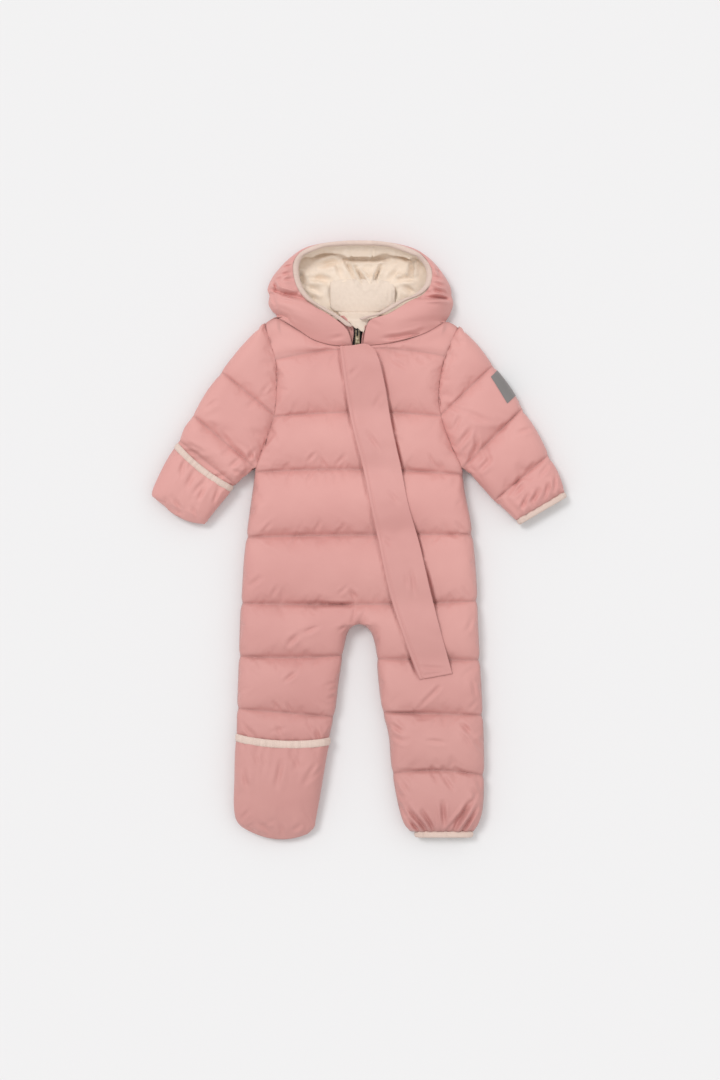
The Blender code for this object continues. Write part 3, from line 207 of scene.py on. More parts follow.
def setInputs(tree, node, values):
    # an input takes a number, a colour or the output that it is linked from
    for label, value in values.items():
        if isinstance(value, bpy.types.NodeSocket):
            tree.links.new(value, node.inputs[label])
        else:
            node.inputs[label].default_value = value
    return node


def newNode(tree, kind, values, **settings):
    node = tree.nodes.new("ShaderNode" + kind)
    for key, value in settings.items():
        setattr(node, key, value)
    return setInputs(tree, node, values)


def newGroup(name, inputs):
    # a group that gives a height for bumps and a tone for colours
    group = bpy.data.node_groups.new(name, "ShaderNodeTree")
    for label, kind, value in inputs:
        socket = group.interface.new_socket(label, in_out="INPUT", socket_type=kind)
        if value is not None:
            socket.default_value = value
    for label in ("Height", "Tone"):
        group.interface.new_socket(label, in_out="OUTPUT", socket_type="NodeSocketFloat")
    start, end = group.nodes.new("NodeGroupInput"), group.nodes.new("NodeGroupOutput")
    return group, start.outputs, end


def mathNode(tree, operation, *values):
    return newNode(tree, "Math", dict(enumerate(values)), operation=operation).outputs[0]


def objectPoint(tree):
    return newNode(tree, "TexCoord", {}).outputs["Object"]


def noiseNode(tree, point, scale, detail, roughness=0.5, **settings):
    values = {"Vector": point, "Scale": scale, "Detail": detail, "Roughness": roughness}
    return newNode(tree, "TexNoise", values, **settings).outputs


def makeWeave():
    # plain weave over a UV map in metres: height of the threads and a thread-by-thread tone
    group, start, end = newGroup("plainWeave", [("UV", "NodeSocketVector", None),
                                                ("Pitch", "NodeSocketFloat", 0.0004)])
    split = newNode(group, "SeparateXYZ", {0: start["UV"]})
    waves = []
    for axis in (0, 1):
        turns = mathNode(group, "DIVIDE", split.outputs[axis], start["Pitch"])
        waves.append(mathNode(group, "SINE", mathNode(group, "MULTIPLY", turns, math.pi)))
    stretch = newNode(group, "VectorMath", {0: start["UV"], 1: (60.0, 1400.0, 1.0)}, operation="MULTIPLY")
    streak = noiseNode(group, stretch.outputs[0], 1.0, 2.0)
    height = mathNode(group, "ABSOLUTE", mathNode(group, "MULTIPLY", *waves))
    setInputs(group, end, {"Height": height, "Tone": streak[0]})
    return group


def makeCrumple():
    # fine creases of a light shell cloth, and its soft change of tone
    group, start, end = newGroup("crumple", [("Scale", "NodeSocketFloat", 30.0),
                                             ("Amount", "NodeSocketFloat", 1.0)])
    point = objectPoint(group)
    bend = noiseNode(group, point, 14.0, 2.0)["Color"]
    shift = newNode(group, "VectorMath", {0: bend, 1: (0.03, 0.03, 0.03), 2: point}, operation="MULTIPLY_ADD")
    folds = noiseNode(group, shift.outputs[0], start["Scale"], 3.0, 0.45, noise_type="RIDGED_MULTIFRACTAL")
    cloud = noiseNode(group, point, 9.0, 3.0)
    setInputs(group, end, {"Height": mathNode(group, "MULTIPLY", folds[0], start["Amount"]), "Tone": cloud[0]})
    return group


weaveGroup = makeWeave()
crumpleGroup = makeCrumple()


def tone(tree, factor, dark, light, low=0.3, high=0.7):
    ramp = newNode(tree, "ValToRGB", {0: factor})
    for element, position, colour in zip(ramp.color_ramp.elements, (low, high), (dark, light)):
        element.position, element.color = position, (*colour, 1.0)
    return ramp.outputs[0]


def bump(tree, height, distance, strength=1.0, below=None):
    values = {"Distance": distance, "Strength": strength, "Height": height}
    if below is not None:
        values["Normal"] = below
    return newNode(tree, "Bump", values).outputs[0]


def newFinish(name, roughness, metallic=0.0, sheen=0.0, sheenTint=None, specular=0.5):
    finish = bpy.data.materials.new(name)
    finish.use_nodes = True
    tree = finish.node_tree
    shader = tree.nodes["Principled BSDF"]
    setInputs(tree, shader, {"Roughness": roughness, "Metallic": metallic, "Specular IOR Level": specular,
                             "Sheen Weight": sheen, "Sheen Roughness": 0.4})
    if sheenTint:
        shader.inputs["Sheen Tint"].default_value = (*sheenTint, 1.0)
    return finish, tree, shader


def weaveNode(tree, pitch):
    uv = newNode(tree, "UVMap", {}, uv_map="weave")
    return newNode(tree, "Group", {"UV": uv.outputs[0], "Pitch": pitch}, node_tree=weaveGroup).outputs


def makeShellFinish(name, dark, light, crease, weavePitch=0.0004):
    # light woven shell cloth: threads, fine creases and a low satin gloss
    finish, tree, shader = newFinish(name, 0.56, sheen=0.25, sheenTint=(1.0, 0.86, 0.84), specular=0.32)
    weave = weaveNode(tree, weavePitch)
    folds = newNode(tree, "Group", {"Scale": 26.0, "Amount": 1.0}, node_tree=crumpleGroup).outputs
    # painted shade: the colour darkens from the chest to the legs, standing in for light that falls off towards
    # the bottom
    split = newNode(tree, "SeparateXYZ", {0: objectPoint(tree)})
    paintedFalloff = newNode(tree, "MapRange", {"Value": split.outputs[1], "From Min": -0.33, "From Max": 0.06,
                                       "To Min": 0.86, "To Max": 1.0})
    # painted shade: what is sewn down is darkened, standing in for the shade in the quilting lines' creases
    seam = newNode(tree, "Attribute", {}, attribute_name="sewn")
    line = mathNode(tree, "MULTIPLY_ADD", mathNode(tree, "POWER", seam.outputs["Fac"], 2.5), -0.18, 1.0)
    toneWithPaintedShade = newNode(tree, "VectorMath", {0: tone(tree, folds["Tone"], dark, light),
                                          "Scale": mathNode(tree, "MULTIPLY", paintedFalloff.outputs[0], line)},
                     operation="SCALE")
    creased = bump(tree, folds["Height"], crease)
    setInputs(tree, shader, {"Base Color": toneWithPaintedShade.outputs[0],
                             "Normal": bump(tree, weave["Height"], 0.00006, 0.5, creased),
                             "Roughness": mathNode(tree, "MULTIPLY_ADD", weave["Tone"], 0.16, 0.48)})
    return finish


def makeFleeceFinish(name, dark, light, scale=900.0):
    # short brushed pile: fine tufts over soft clumps
    finish, tree, shader = newFinish(name, 0.95, sheen=0.5, sheenTint=(1.0, 0.97, 0.9), specular=0.15)
    point = objectPoint(tree)
    tufts = noiseNode(tree, point, scale, 4.0, 0.7)
    clumps = noiseNode(tree, point, scale / 7, 3.0)
    low = bump(tree, clumps[0], 0.0009, 0.7)
    setInputs(tree, shader, {"Base Color": tone(tree, clumps[0], dark, light, 0.25, 0.75),
                             "Normal": bump(tree, tufts[0], 0.0004, 0.9, low)})
    return finish


def makeElasticFinish(name, dark, light):
    # fold-over elastic: fine ribs along the band with a small cross rib
    finish, tree, shader = newFinish(name, 0.8, sheen=0.3, specular=0.2)
    weave = weaveNode(tree, 0.0009)
    setInputs(tree, shader, {"Base Color": tone(tree, weave["Tone"], dark, light),
                             "Normal": bump(tree, weave["Height"], 0.00025, 0.8)})
    return finish


def makeMetalFinish(name, dark, light, metallic, roughness):
    finish, tree, shader = newFinish(name, roughness, metallic)
    wear = noiseNode(tree, objectPoint(tree), 420.0, 5.0)
    setInputs(tree, shader, {"Base Color": tone(tree, wear[0], dark, light, 0.35, 0.68),
                             "Normal": bump(tree, wear[0], 0.00008, 0.5)})
    return finish


shellFinish = makeShellFinish("pinkShell", (0.652, 0.314, 0.292), (0.706, 0.358, 0.330), 0.0011)
# painted shade: the flap's pink is the shell's pink made darker
flapFinishShaded = makeShellFinish("pinkFlap", (0.612, 0.292, 0.272), (0.664, 0.334, 0.310), 0.0005)
liningFinish = makeFleeceFinish("creamFleece", (0.83, 0.69, 0.56), (0.895, 0.765, 0.65))
facingFinish = makeFleeceFinish("creamFacing", (0.78, 0.655, 0.555), (0.83, 0.705, 0.605), 1400.0)
bindingFinish = makeElasticFinish("creamElastic", (0.70, 0.545, 0.475), (0.77, 0.61, 0.54))
patchFinish = makeShellFinish("greyReflective", (0.19, 0.178, 0.174), (0.235, 0.222, 0.218), 0.0001, 0.0006)
threadFinish = makeMetalFinish("pinkThread", (0.46, 0.17, 0.155), (0.56, 0.22, 0.20), 0.0, 0.6)
blackFinish = makeMetalFinish("blackMetal", (0.006, 0.006, 0.007), (0.03, 0.028, 0.026), 0.5, 0.35)
tapeFinish = makeElasticFinish("blackTape", (0.012, 0.011, 0.011), (0.03, 0.028, 0.027))
pullFinish = makeMetalFinish("antiquePull", (0.16, 0.12, 0.07), (0.50, 0.42, 0.30), 0.7, 0.38)
print("finishes made")


# body: front and back

body = dict(
    rightSide=(
        (287.4, -127.4), (265, -119.7), (235.6, -112.2), (202, -112.6), (169.4, -115.7), (137, -126.1),
        (99.2, -140), (72, -144), (23.6, -150.8), (-25, -156.4), (-65.5, -158.9), (-106, -161.6), (-154.6, -163),
        (-225, -165.6), (-262, -166.3), (-290, -168.4)),
    leftSide=(
        (287.4, 133), (249, 115.6), (205.9, 107.3), (168.9, 109.8), (127, 124.6), (99.2, 137.6), (72.2, 141),
        (23.6, 150.3), (-25, 155.7), (-65.5, 158.4), (-106, 159.7), (-162.7, 162.4), (-211, 165.1), (-276, 167.8),
        (-325, 167.8), (-352, 167), (-372, 163.6), (-391.5, 155.5)),
    rightInseam=(
        (-111.6, -1), (-112.9, -6), (-115.2, -10.4), (-119.4, -14.4), (-127.4, -17.6), (-146.5, -21.6),
        (-187, -27.9), (-227.5, -33), (-262, -40.5), (-290, -45)),
    leftInseam=(
        (-111.6, -1), (-112.9, 4.4), (-115.2, 8.6), (-119.4, 12.8), (-127, 17.2), (-146.5, 21.9), (-187, 25),
        (-227.5, 30.5), (-262, 39), (-300, 42.3), (-349, 50.4), (-378, 58.5), (-391.5, 67)),
    crotch=(-1, -111.6), knee=-155.6,
    frontNeck=(
        (-127.4, 293.4), (-120, 297.6), (-112, 300.5), (-104, 297), (-93.2, 291), (-78, 281.5), (-63, 271.5),
        (-34.7, 263.6), (0, 263), (33.8, 265.6), (59.8, 271), (88.2, 280.4), (103.8, 289), (115.2, 295.3),
        (124, 293.5), (133, 287.4)),
    backNeck=(
        (-127.4, 293.4), (-120, 298.6), (-112, 302.5), (-16, 305.7), (16, 305.7), (115.2, 295.3), (124, 293.5),
        (133, 287.4)),
    # quilting lines: y at the right, middle and left, height of the line, puff above it
    torso=(
        (244.4, 260, 249, 24.5, 27.5), (168, 174, 169, 24, 33), (93.3, 97, 90, 23.5, 34.5),
        (6, 9, 9.6, 23.5, 35.5), (-83, -84.4, -80, 23.5, 35.5)),
    rightLeg=(
        (-154.6, -156, -153.2, 23.5, 35), (-224.8, -230, -236.3, 23, 33.5), (-266, -273, -271, 26, 30)),
    leftLeg=(
        (-158, -159, -159.5, 23.5, 35), (-230, -231.5, -234, 23, 34), (-312, -308, -315, 22.5, 34),
        (-391, -391, -391, 20, 31)),
    neckHeight=22.5, shoulderStart=88.0, sideRound=23.0, crotchRound=20.0, armhole=94.0, cell=2.9, notch=2.0,
    puckerReach=8.0, gatherTop=-352.0)


def outerEdge(side, y):
    return smoothValue(body["rightSide" if side < 0 else "leftSide"], y)


def innerEdge(side, y):
    return smoothValue(body["rightInseam" if side < 0 else "leftInseam"], y)


bodyCreases = (
    # where a quilting line is drawn in most
    (-100, -84.3, -10, -85.4, 1.7, 2.4), (-141, 6.2, 20, 10.2, 1.5, 1.5), (34, -230.6, 110, -231.2, 1.6, 2),
    (-117, 93.4, -58, 95.2, 1.6, 2), (-158, -155.4, -50, -155, 1.4, 1), (62, 95.8, 104, 92, 1.5, 1.4),
    (-104, 170.4, -44, 173.4, 1.4, 1), (48, -307, 120, -309, 1.6, 1.4),
    # along the flap's sewn edge
    (-27.8, 258, -20.4, 206, 1.7, 1.2), (-20.4, 206, -10.6, 152, 1.7, 1.2), (-10.6, 152, 3.9, 96.5, 1.7, 1.2),
    (3.9, 96.5, 13.2, 49, 1.7, 1.2), (13.2, 49, 24.1, -0.7, 1.7, 1.2), (24.1, -0.7, 37.9, -65, 1.7, 1.2),
    (37.9, -65, 59.3, -133, 1.7, 1.4), (59.3, -133, 79.6, -184, 1.7, 1.4), (68, -154, 76, -176, 2.6, 1.8),
    # under the flap's free edge
    (38.5, 186, 46, 140, 2.2, 2.6), (46, 140, 57.5, 92, 2.2, 4.2), (73, 22, 86, -30, 2.2, 2.4),
    (86, -30, 101.5, -90, 2.4, 4.4), (28, 244, 38.5, 186, 2, 1.8),
    # right thigh, above the crotch and beside the placket
    (-95.9, -136.2, -80.9, -124.2, 3.4, 1.7), (-80.9, -124.2, -54, -112.2, 3.4, 1.7),
    (-100.4, -187, -85.5, -174.8, 2.6, 1.2), (83.8, -217.1, 107.9, -193.2, 2.6, 1.2),
    (-6.3, -88.4, -9, -108.7, 2, 1.6), (8, -90, 2.5, -106, 2, 1.3), (-18, -112, -28, -120, 2.2, 1.2),
    # below the right knee and above the foot cover
    (-69, -243.7, -57, -265, 2.6, 1.9), (-148, -250, -140, -264, 2.6, 1.6), (-112, -246, -104, -262, 2.8, 1.2),
    (-28, -205, -44, -211, 2.2, 1.3), (-26, -192, -40, -190, 2.2, 1.1),
    # left shin
    (134.9, -243.7, 152.8, -258.5, 3.2, 1.8), (44, -246, 62, -256, 2.6, 1.6), (40, -260, 66, -266, 3, 1.2),
    (146, -225, 158, -214, 2.6, 1.2), (104, -322, 96, -306, 3, 1.3), (150, -330, 161, -345, 3.2, 1.6),
    (54, -318, 66, -340, 3, 1.4),
    # left cuff's deep folds
    (60, -352, 92, -391, 2.8, 5), (50, -349, 76, -384, 2.6, 3.4), (110.8, -350, 113.8, -380, 2.8, 3),
    (148, -350, 124, -390, 3, 5.4), (158, -356, 138, -390, 2.4, 4), (84, -362, 101, -391, 2.4, 3.4),
    (66, -374, 84, -391, 2, 3), (134, -366, 116, -391, 2.2, 3), (156, -340, 150, -352, 2.4, 1.8),
    # right and left of the ribs
    (-133, 122.4, -117.3, 145.8, 2.8, 1.8), (-70.5, 106.8, -59, 118.5, 2.4, 1.5),
    (-31.5, 102.9, -19.8, 114.6, 2.4, 1.5), (128, 118, 118, 134, 2.8, 1.6), (101, 100, 92, 117, 2.4, 1.3),
    (68, 250, 94, 238, 3.6, 1.3), (-60, 12, -52, 27, 2.4, 1.1), (-128, 14, -118, 26, 2.4, 1.1),
    (142, 12, 130, 24, 2.4, 1.3), (-30, -72, -16, -60, 2.4, 1.5), (-118, -74, -110, -60, 2.4, 1.2),
    (146, -76, 138, -62, 2.4, 1.1), (-146, -60, -134, -48, 3, 1.2), (152, -100, 144, -122, 3, 1.3),
    # shoulder seams and the top quilting line
    (-111.5, 245.3, -90, 249.2, 1.9, 1.6), (-90, 249.2, -35.4, 259, 1.9, 1.6), (42, 256, 72, 250, 2.2, 1.2),
    (40, 246, 66, 230, 2.6, 1.4),
    # hip line's middle, thighs and knees
    (-52, -84.6, -10, -85.3, 1.9, 3.4), (-12, -68, -5, -76, 3, 2.4), (-104, -190, -82, -173, 3, 0.6),
    (-100, -146, -86, -128, 3.2, 1), (-38.9, -200.6, -26.9, -194.6, 2, 1.8),
    (-38.9, -211.1, -28.4, -205.1, 2, 1.8), (-116, -216, -108, -226, 2.2, 1.6), (-98, -218, -92, -228, 2.2, 1.5),
    (-59.9, -248, -54, -268, 2.4, 2.6), (-46, -264, -32.9, -244, 2.4, 2.6), (-155.8, -244, -146, -262, 2.4, 2),
    (-120, -255, -96, -250, 2.6, 1.4), (80, -222, 96, -208, 3, 1), (96, -208, 109, -192, 2.8, 1),
    (150, -182, 156, -212, 2.8, 1.6), (136, -243, 150, -262, 2.8, 1.6), (150, -262, 166, -282, 2.8, 1.8),
    (130, -246, 156, -286, 2.8, 1.2), (42, -246, 58, -258, 2.4, 2), (44, -264, 62, -270, 2.4, 1.6),
    (86.9, -266, 116.9, -269.5, 2.8, 1.5), (96, -304, 110, -312, 2.2, 1.6),
    (110.9, -314, 125.9, -333.9, 2.6, 1.8), (128, -306, 150, -314, 2.2, 1.5), (158, -318, 164, -340, 2.8, 2),
    (46, -322, 56, -346, 2.6, 1.8),
    # puckers over and under the chest and waist lines
    (-70, 85, -62, 94, 2.2, 1.6), (-96, 86, -90, 95, 2.2, 1.3), (-44, 99, -52, 110, 2.2, 1.6),
    (-26, 97, -20, 106, 2.2, 1.4), (-90, -1, -84, 8, 2.2, 1.2), (-30, 12, -20, 22, 2.2, 1.2),
    (-104, 162, -92, 171, 2.2, 1.3), (98, -2, 106, 8, 2.2, 1.2), (132, 6, 118, 11, 2.2, 1.6),
    (-140, -90, -128, -82, 2.2, 1.3), (-76, -92, -66, -84, 2.2, 1.2), (118, -88, 126, -80, 2.2, 1.2))


def lineHeights(side, u, neck):
    # y, height and puff of each line at a share from the side (0) to the middle (1)
    across = u / 2 if side < 0 else 1 - u / 2
    local = u if side < 0 else 1 - u
    lines = [(smoothValue(neck, mix(neck[0][0], neck[-1][0], across)), body["neckHeight"], 0.0)]
    for share, table in ((across, "torso"), (local, "rightLeg" if side < 0 else "leftLeg")):
        lines += [(threeWay(*line[:3], share), *line[3:]) for line in body[table]]
    return lines


def acrossBody(side, u, y, hip):
    if y < body["crotch"][1]:
        return mix(outerEdge(side, y), innerEdge(side, y), u)
    share = u / 2 if side < 0 else 1 - u / 2
    wide = mix(outerEdge(-1, y), outerEdge(1, y), share)
    legs = mix(outerEdge(side, y), body["crotch"][0], u)
    return mix(wide, legs, ease((hip - y) / (hip - body["crotch"][1])))


def seamSlack(distance, x, y):
    # cloth is a little too long beside a seam, which puckers it; 1 is kept for what is sewn down
    patchy = clamp(0.5 + 0.9 * ripple(x, y, 26.0, 11.0), 0.1, 1.0)
    return 0.95 * patchy * math.exp(-max(distance - 1.0, 0.0) / body["puckerReach"])


def rowCounts(side, neck):
    # rows in each channel; the one with the crotch has rows above it that both halves share
    lines = lineHeights(side, 1.0, neck)
    counts = [max(round((a[0] - b[0]) / body["cell"]), 4) for a, b in zip(lines, lines[1:])]
    upper = round((lines[5][0] - body["crotch"][1]) / body["cell"])
    return counts, upper


def channelAt(counts, v):
    # the channel that a row lies in, and the row's number there
    row, channel = round(v * sum(counts)), 0
    while channel < len(counts) - 1 and row > counts[channel]:
        row -= counts[channel]
        channel += 1
    return row, channel


def bodyPlace(side, neck, shape):
    counts, upper = rowCounts(side, neck)
    crotchX, crotchY = body["crotch"]

    def place(u, v):
        row, channel = channelAt(counts, v)
        share = row / counts[channel]
        lines = lineHeights(side, u, neck)
        top, foot = lines[channel][0], lines[channel + 1][0]
        y = mix(top, foot, share)
        if channel == 5:
            lower = (row - upper) / (counts[5] - upper)
            y = mix(top, crotchY, row / upper) if row <= upper else mix(crotchY, foot, lower ** 1.35)
            even = mix(foot, body["knee"], ease(u * 5 - 4))
            share = (top - y) / (top - even) if 0 < row < counts[5] else share
        fromLine = min(abs(y - line[0]) for line in lines[1:])
        drawn = body["notch"] * math.exp(-(fromLine / 4.5) ** 2) * clamp((body["armhole"] - y) / 12.0)
        x = acrossBody(side, u, y, lines[5][0]) - side * drawn * (1 - u) ** 8
        below = y < crotchY
        if below:
            x += side * drawn * 0.6 * u ** 8
        fromOuter = abs(x - outerEdge(side, y) + side * drawn)
        fromInner = math.hypot(x - crotchX, y - crotchY)
        innerRound = body["crotchRound"]
        if below:
            fromInner, innerRound = abs(x - innerEdge(side, y) - side * drawn * 0.6), body["sideRound"] * 0.9
        depths = (fromOuter, fromInner, innerRound)
        z = shape(u, x, y, channel, share, lines, depths)
        if share in (0.0, 1.0) or u == 0.0 or (u == 1.0 and y <= crotchY):
            return x, y, z, 1.0
        return x, y, z, seamSlack(min(fromLine, fromOuter, fromInner), x, y)
    return sum(counts), place


def legGathers(u, y):
    # upright folds that an elastic cuff draws in, deep at the cuff and fading upwards
    reach = ease((body["gatherTop"] - y) / 36.0)
    fold = math.sin(math.tau * (u * 9.0 + 0.35 * ripple(u * 9.0, y / 30.0, 1.7, 4.0)))
    weight = 0.55 + 0.45 * math.cos(math.tau * u)
    return reach * weight * (2.0 * fold + 1.2 * ripple(u * 60.0, y / 12.0, 3.0, 9.0))


def frontShape(u, x, y, channel, share, lines, depths):
    (_, high, _), (_, low, puff) = lines[channel], lines[channel + 1]
    base = mix(high, low, share)
    narrow = (lines[channel][0] - lines[channel + 1][0]) * 0.27
    top = base + min(puff - base, narrow) * pillow(share)
    if x > 0 and y < body["gatherTop"]:
        top += legGathers(u, y)
    top += creases(bodyCreases, x, y)
    edge = meet + mix(0.3, 9.5, clamp((y - 88.0) / 14.0))
    depth = min(rounding(depths[0], body["sideRound"]), rounding(depths[1], depths[2]))
    return mix(edge, max(top, edge), depth)


def backShape(u, x, y, channel, share, lines, depths):
    fromLine = min(share, 1 - share) * (lines[channel][0] - lines[channel + 1][0])
    groove = 2.6 * math.exp(-(fromLine / 3.2) ** 2)
    pucker = 0.9 * clamp(ripple(x, y * 0.35, 9.0, 3.1) + 0.15) * math.exp(-fromLine / 9.0)
    under = groove * 0.8 + pucker
    if channel == 0:
        # at the shoulders the back rises to meet the front's edge
        fromNeck = share * (lines[0][0] - lines[1][0])
        close = ease((abs(x) - body["shoulderStart"]) / 12.0) * (1 - rounding(fromNeck, 12.0))
        under = mix(under, body["neckHeight"] - 0.5, close)
    if y > body["armhole"] + 4.0:
        return under
    depth = min(rounding(depths[0], 17.0), rounding(depths[1], 15.0))
    return mix(meet - 0.3, under, depth)


def buildBody():
    frontGrids, backGrids = [], []
    for side in (-1, 1):
        for grids, neck, shape, across in ((frontGrids, body["frontNeck"], frontShape, 54),
                                           (backGrids, body["backNeck"], backShape, 36)):
            total, place = bodyPlace(side, neck, shape)
            grids.append((across, total, place, (0.16, 0.68)))
    front = clothPiece("frontShell", frontGrids, shellFinish, (0, 0, 1))
    back = clothPiece("backShell", backGrids, shellFinish, (0, 0, -1))
    return front, back


frontShell, backShell = buildBody()
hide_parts("front")
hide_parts("back")
print("front and back cut")


# sleeves

sleeves = dict(
    right=named("fold end top under puff",
        ((-131.6, 293), (-127.5, 293.2), 22, 0, 0), ((-186, 228.5), (-116.2, 171), 24, 0, 33),
        ((-224, 170), (-141.2, 98.6), 23.5, 0, 34), ((-242.6, 136.2), (-167.2, 76.8), 24.5, 0, 32),
        ((-243.6, 121), (-182, 70), 24, 4, 26)),
    left=named("fold end top under puff",
        ((135.6, 289.4), (133.1, 287.6), 22, 0, 0), ((179, 237), (110.4, 170.5), 24, 0, 33),
        ((219, 179.5), (138.8, 98.6), 23.5, 0, 34), ((254, 116.5), (181.5, 55), 22.5, 0, 34),
        ((276.6, 66.9), (211, 28.4), 20, 2.5, 29)),
    bulge=3.0, round=20.0, armholeRows=2, cell=2.9, around=84)


sleeveCreases = (
    # right sleeve: beside the quilting lines and at the armhole
    (-176, 98, -160, 112, 2.6, 1.8), (-186, 112, -172, 126, 2.4, 1.3), (-205, 178, -192, 190, 2.6, 1.2),
    (-152, 108, -140, 124, 2.6, 1.9), (-200, 84, -178, 92, 2.4, 1.3), (-150, 180, -138, 192, 2.6, 1.1),
    (-236, 122, -214, 118, 2.4, 1.4),
    # left sleeve: folds that run from the underarm, and the elbow
    (132, 128, 150, 152, 3.4, 2.2), (146, 108, 160, 134, 3, 2.4), (158, 92, 176, 112, 3, 2),
    (150, 166, 176, 160, 3, 1.5), (168, 128, 176, 104, 3, 1.8), (126, 150, 134, 168, 2.8, 1.4),
    (186, 146, 198, 158, 2.4, 1.4), (205, 62, 222, 78, 2.6, 1.9), (222, 92, 236, 104, 2.4, 1.4),
    (216, 42, 226, 62, 2.4, 2.6), (232, 50, 240, 70, 2.4, 2.6), (248, 58, 254, 78, 2.2, 2.4),
    (262, 68, 262, 86, 2.2, 2.2), (224, 48, 236, 62, 2, 1.6), (112.8, 184.9, 140, 174, 2.8, 1.5),
    (140, 174, 167.4, 165.4, 2.8, 1.5), (155.7, 149.8, 157, 118, 2.6, 1.8), (212, 146, 232, 152, 2.4, 1.6),
    (206, 70, 216, 88, 2.2, 2), (240, 86, 256, 106, 2.4, 1.6), (196, 60, 208, 74, 2.2, 2),
    (-187, 146, -170, 128, 2.4, 1.8), (-170, 128, -154, 112, 2.4, 2.2), (-172, 96, -150, 88, 2.4, 1.8),
    (-164, 84, -148, 98, 2.2, 1.8), (-150, 126, -142, 104, 2.4, 1.8), (-122, 212, -132, 196, 2.4, 1.2),
    (-232, 132, -206, 118, 2.4, 1.4), (122, 250, 116, 226, 2.4, 1.2))


def sleevePlace(table, side):
    counts = []
    for first, second in zip(table, table[1:]):
        run = max(math.dist(first["fold"], second["fold"]), math.dist(first["end"], second["end"]) * 0.8)
        counts.append(max(round(run / sleeves["cell"]), 3))

    def rowAt(v):
        row, channel = channelAt(counts, v)
        share = row / counts[channel]
        first, second = table[channel], table[channel + 1]
        fold, end = (mixPoint(first[key], second[key], share) for key in ("fold", "end"))
        along = Vector(second["fold"]) - Vector(first["fold"])
        out = Vector((along.y, -along.x)).normalized()
        if out.dot(Vector(fold) - Vector(end)) < 0:
            out = -out
        fold = tuple(Vector(fold) + out * sleeves["bulge"] * 4 * share * (1 - share))
        if channel < sleeves["armholeRows"]:
            end = (outerEdge(side, end[1]) - side * 0.2, end[1])
        base = mix(first["top"], second["top"], share)
        top = base + max(second["puff"] - base, 0.0) * pillow(share)
        fromLine = min(share, 1 - share) * counts[channel] * sleeves["cell"]
        under = mix(first["under"], second["under"], share) + 2.0 * math.exp(-(fromLine / 3.0) ** 2)
        if channel == 0:
            # the tube's top end closes towards the shoulder
            fromTop = share * counts[0] * sleeves["cell"]
            under = mix(under, base - 0.5, 1 - rounding(fromTop, 12.0))
        sewn = channel < sleeves["armholeRows"]
        return fold, end, top, under, sewn, fromLine, share in (0.0, 1.0)

    def place(w, v):
        fold, end, top, under, sewn, fromLine, onLine = rowAt(v)
        share = (1 - math.cos(math.pi * abs(2 * w - 1))) / 2
        width = math.dist(fold, end)
        radius = min(sleeves["round"], width * 0.45)
        nearFold, nearEnd = rounding(share * width, radius), rounding((1 - share) * width, radius)
        x, y = mixPoint(fold, end, share)
        if side > 0 and v > 0.82:
            reach = ease((v - 0.82) / 0.18)
            top += reach * (1.9 * math.sin(math.tau * (share * 6.5 + 0.3 * ripple(share * 6, v * 4, 1.6, 3.0)))
                            + 0.8 * ripple(share * 40, v * 9, 3.0, 7.0)) * (0.5 + abs(share - 0.5))
        if w <= 0.5:
            top += creases(sleeveCreases, x, y)
            upper = meet + (9.5 * (1 - nearEnd) if sewn and share > 0.5 else 0.0)
            z = mix(upper, max(top, upper), min(nearFold, nearEnd))
        else:
            z = mix(meet, under, min(rounding(share * width, 17.0), 1.0 if sewn else nearEnd))
        if onLine or (sewn and w in (0.0, 1.0)):
            return x, y, z, 1.0
        fromEnd = (1 - share) * width if sewn else 99.0
        return x, y, z, seamSlack(min(fromLine, fromEnd), x, y)
    return sum(counts), place


def buildSleeve(name, table, side):
    total, place = sleevePlace(table, side)
    return clothPiece(name, [(sleeves["around"], total, place, (0.24, 0.28))], shellFinish)


sleeveRight = buildSleeve("sleeveRight", sleeves["right"], -1)
sleeveLeft = buildSleeve("sleeveLeft", sleeves["left"], 1)
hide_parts("sleeve_right")
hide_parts("sleeve_left")
print("sleeves cut")


# mitten cover and foot cover

covers = dict(
    mitten=named("a b top",
        ((-248.2, 128.2), (-173.6, 69.6), 29), ((-259.2, 112.2), (-177.6, 62.6), 32),
        ((-271.4, 88.4), (-190, 47.6), 31), ((-280.6, 65.4), (-203, 31.4), 28), ((-275, 57), (-205.4, 27.6), 24),
        ((-263.3, 47.8), (-209.5, 23.5), 18)),
    foot=named("a b top",
        ((-166.6, -266), (-40.4, -271), 31.5), ((-168.4, -285), (-44, -288), 34),
        ((-169.2, -320), (-49.4, -320), 34.5), ((-169.9, -355), (-55.4, -355), 31),
        ((-167, -375), (-59.2, -375), 28), ((-157.8, -386), (-61.5, -386), 24), ((-140, -395), (-71, -395), 18)),
    round=22.0, tipRound=20.0, cell=2.8, around=96, mittenSag=4.5, footSag=6.0, gathers=8.0)


coverCreases = (
    (-104.9, -295, -113.8, -331, 3, 1.8), (-60, -300, -75, -322, 3, 2.2), (-156, -300, -150, -340, 3.2, 2),
    (-130, -288, -126, -304, 2.2, 1.6), (-84, -292, -88, -308, 2.2, 1.6), (-140, -376, -118, -392, 3.4, 1.6),
    (-92, -392, -76, -378, 3.4, 1.4), (-150, -362, -158, -372, 2.4, 1.2), (-236, 104, -240, 88, 2.4, 2),
    (-222, 92, -232, 74, 2.4, 2), (-206, 80, -216, 58, 2.4, 2.2), (-190, 70, -196, 52, 2.2, 1.8),
    (-252, 60, -238, 40, 2.6, 1.6), (-226, 46, -218, 34, 2.6, 1.4), (-222, 66, -206, 84, 2.4, 1.8),
    (-246, 42, -240, 36, 2.4, 2), (-111.5, -336, -101.8, -284, 3, 1), (-74.9, -325, -44.9, -301, 2.6, 1.8),
    (-143, -284, -128, -310, 2.4, 1.4), (-93, -282, -80, -306, 2.4, 1.5), (-158, -318, -144, -330, 3, 0.8),
    (-107.8, -378.9, -101.8, -394, 3, 1.2), (-128, -380, -110, -374, 3, 0.6))


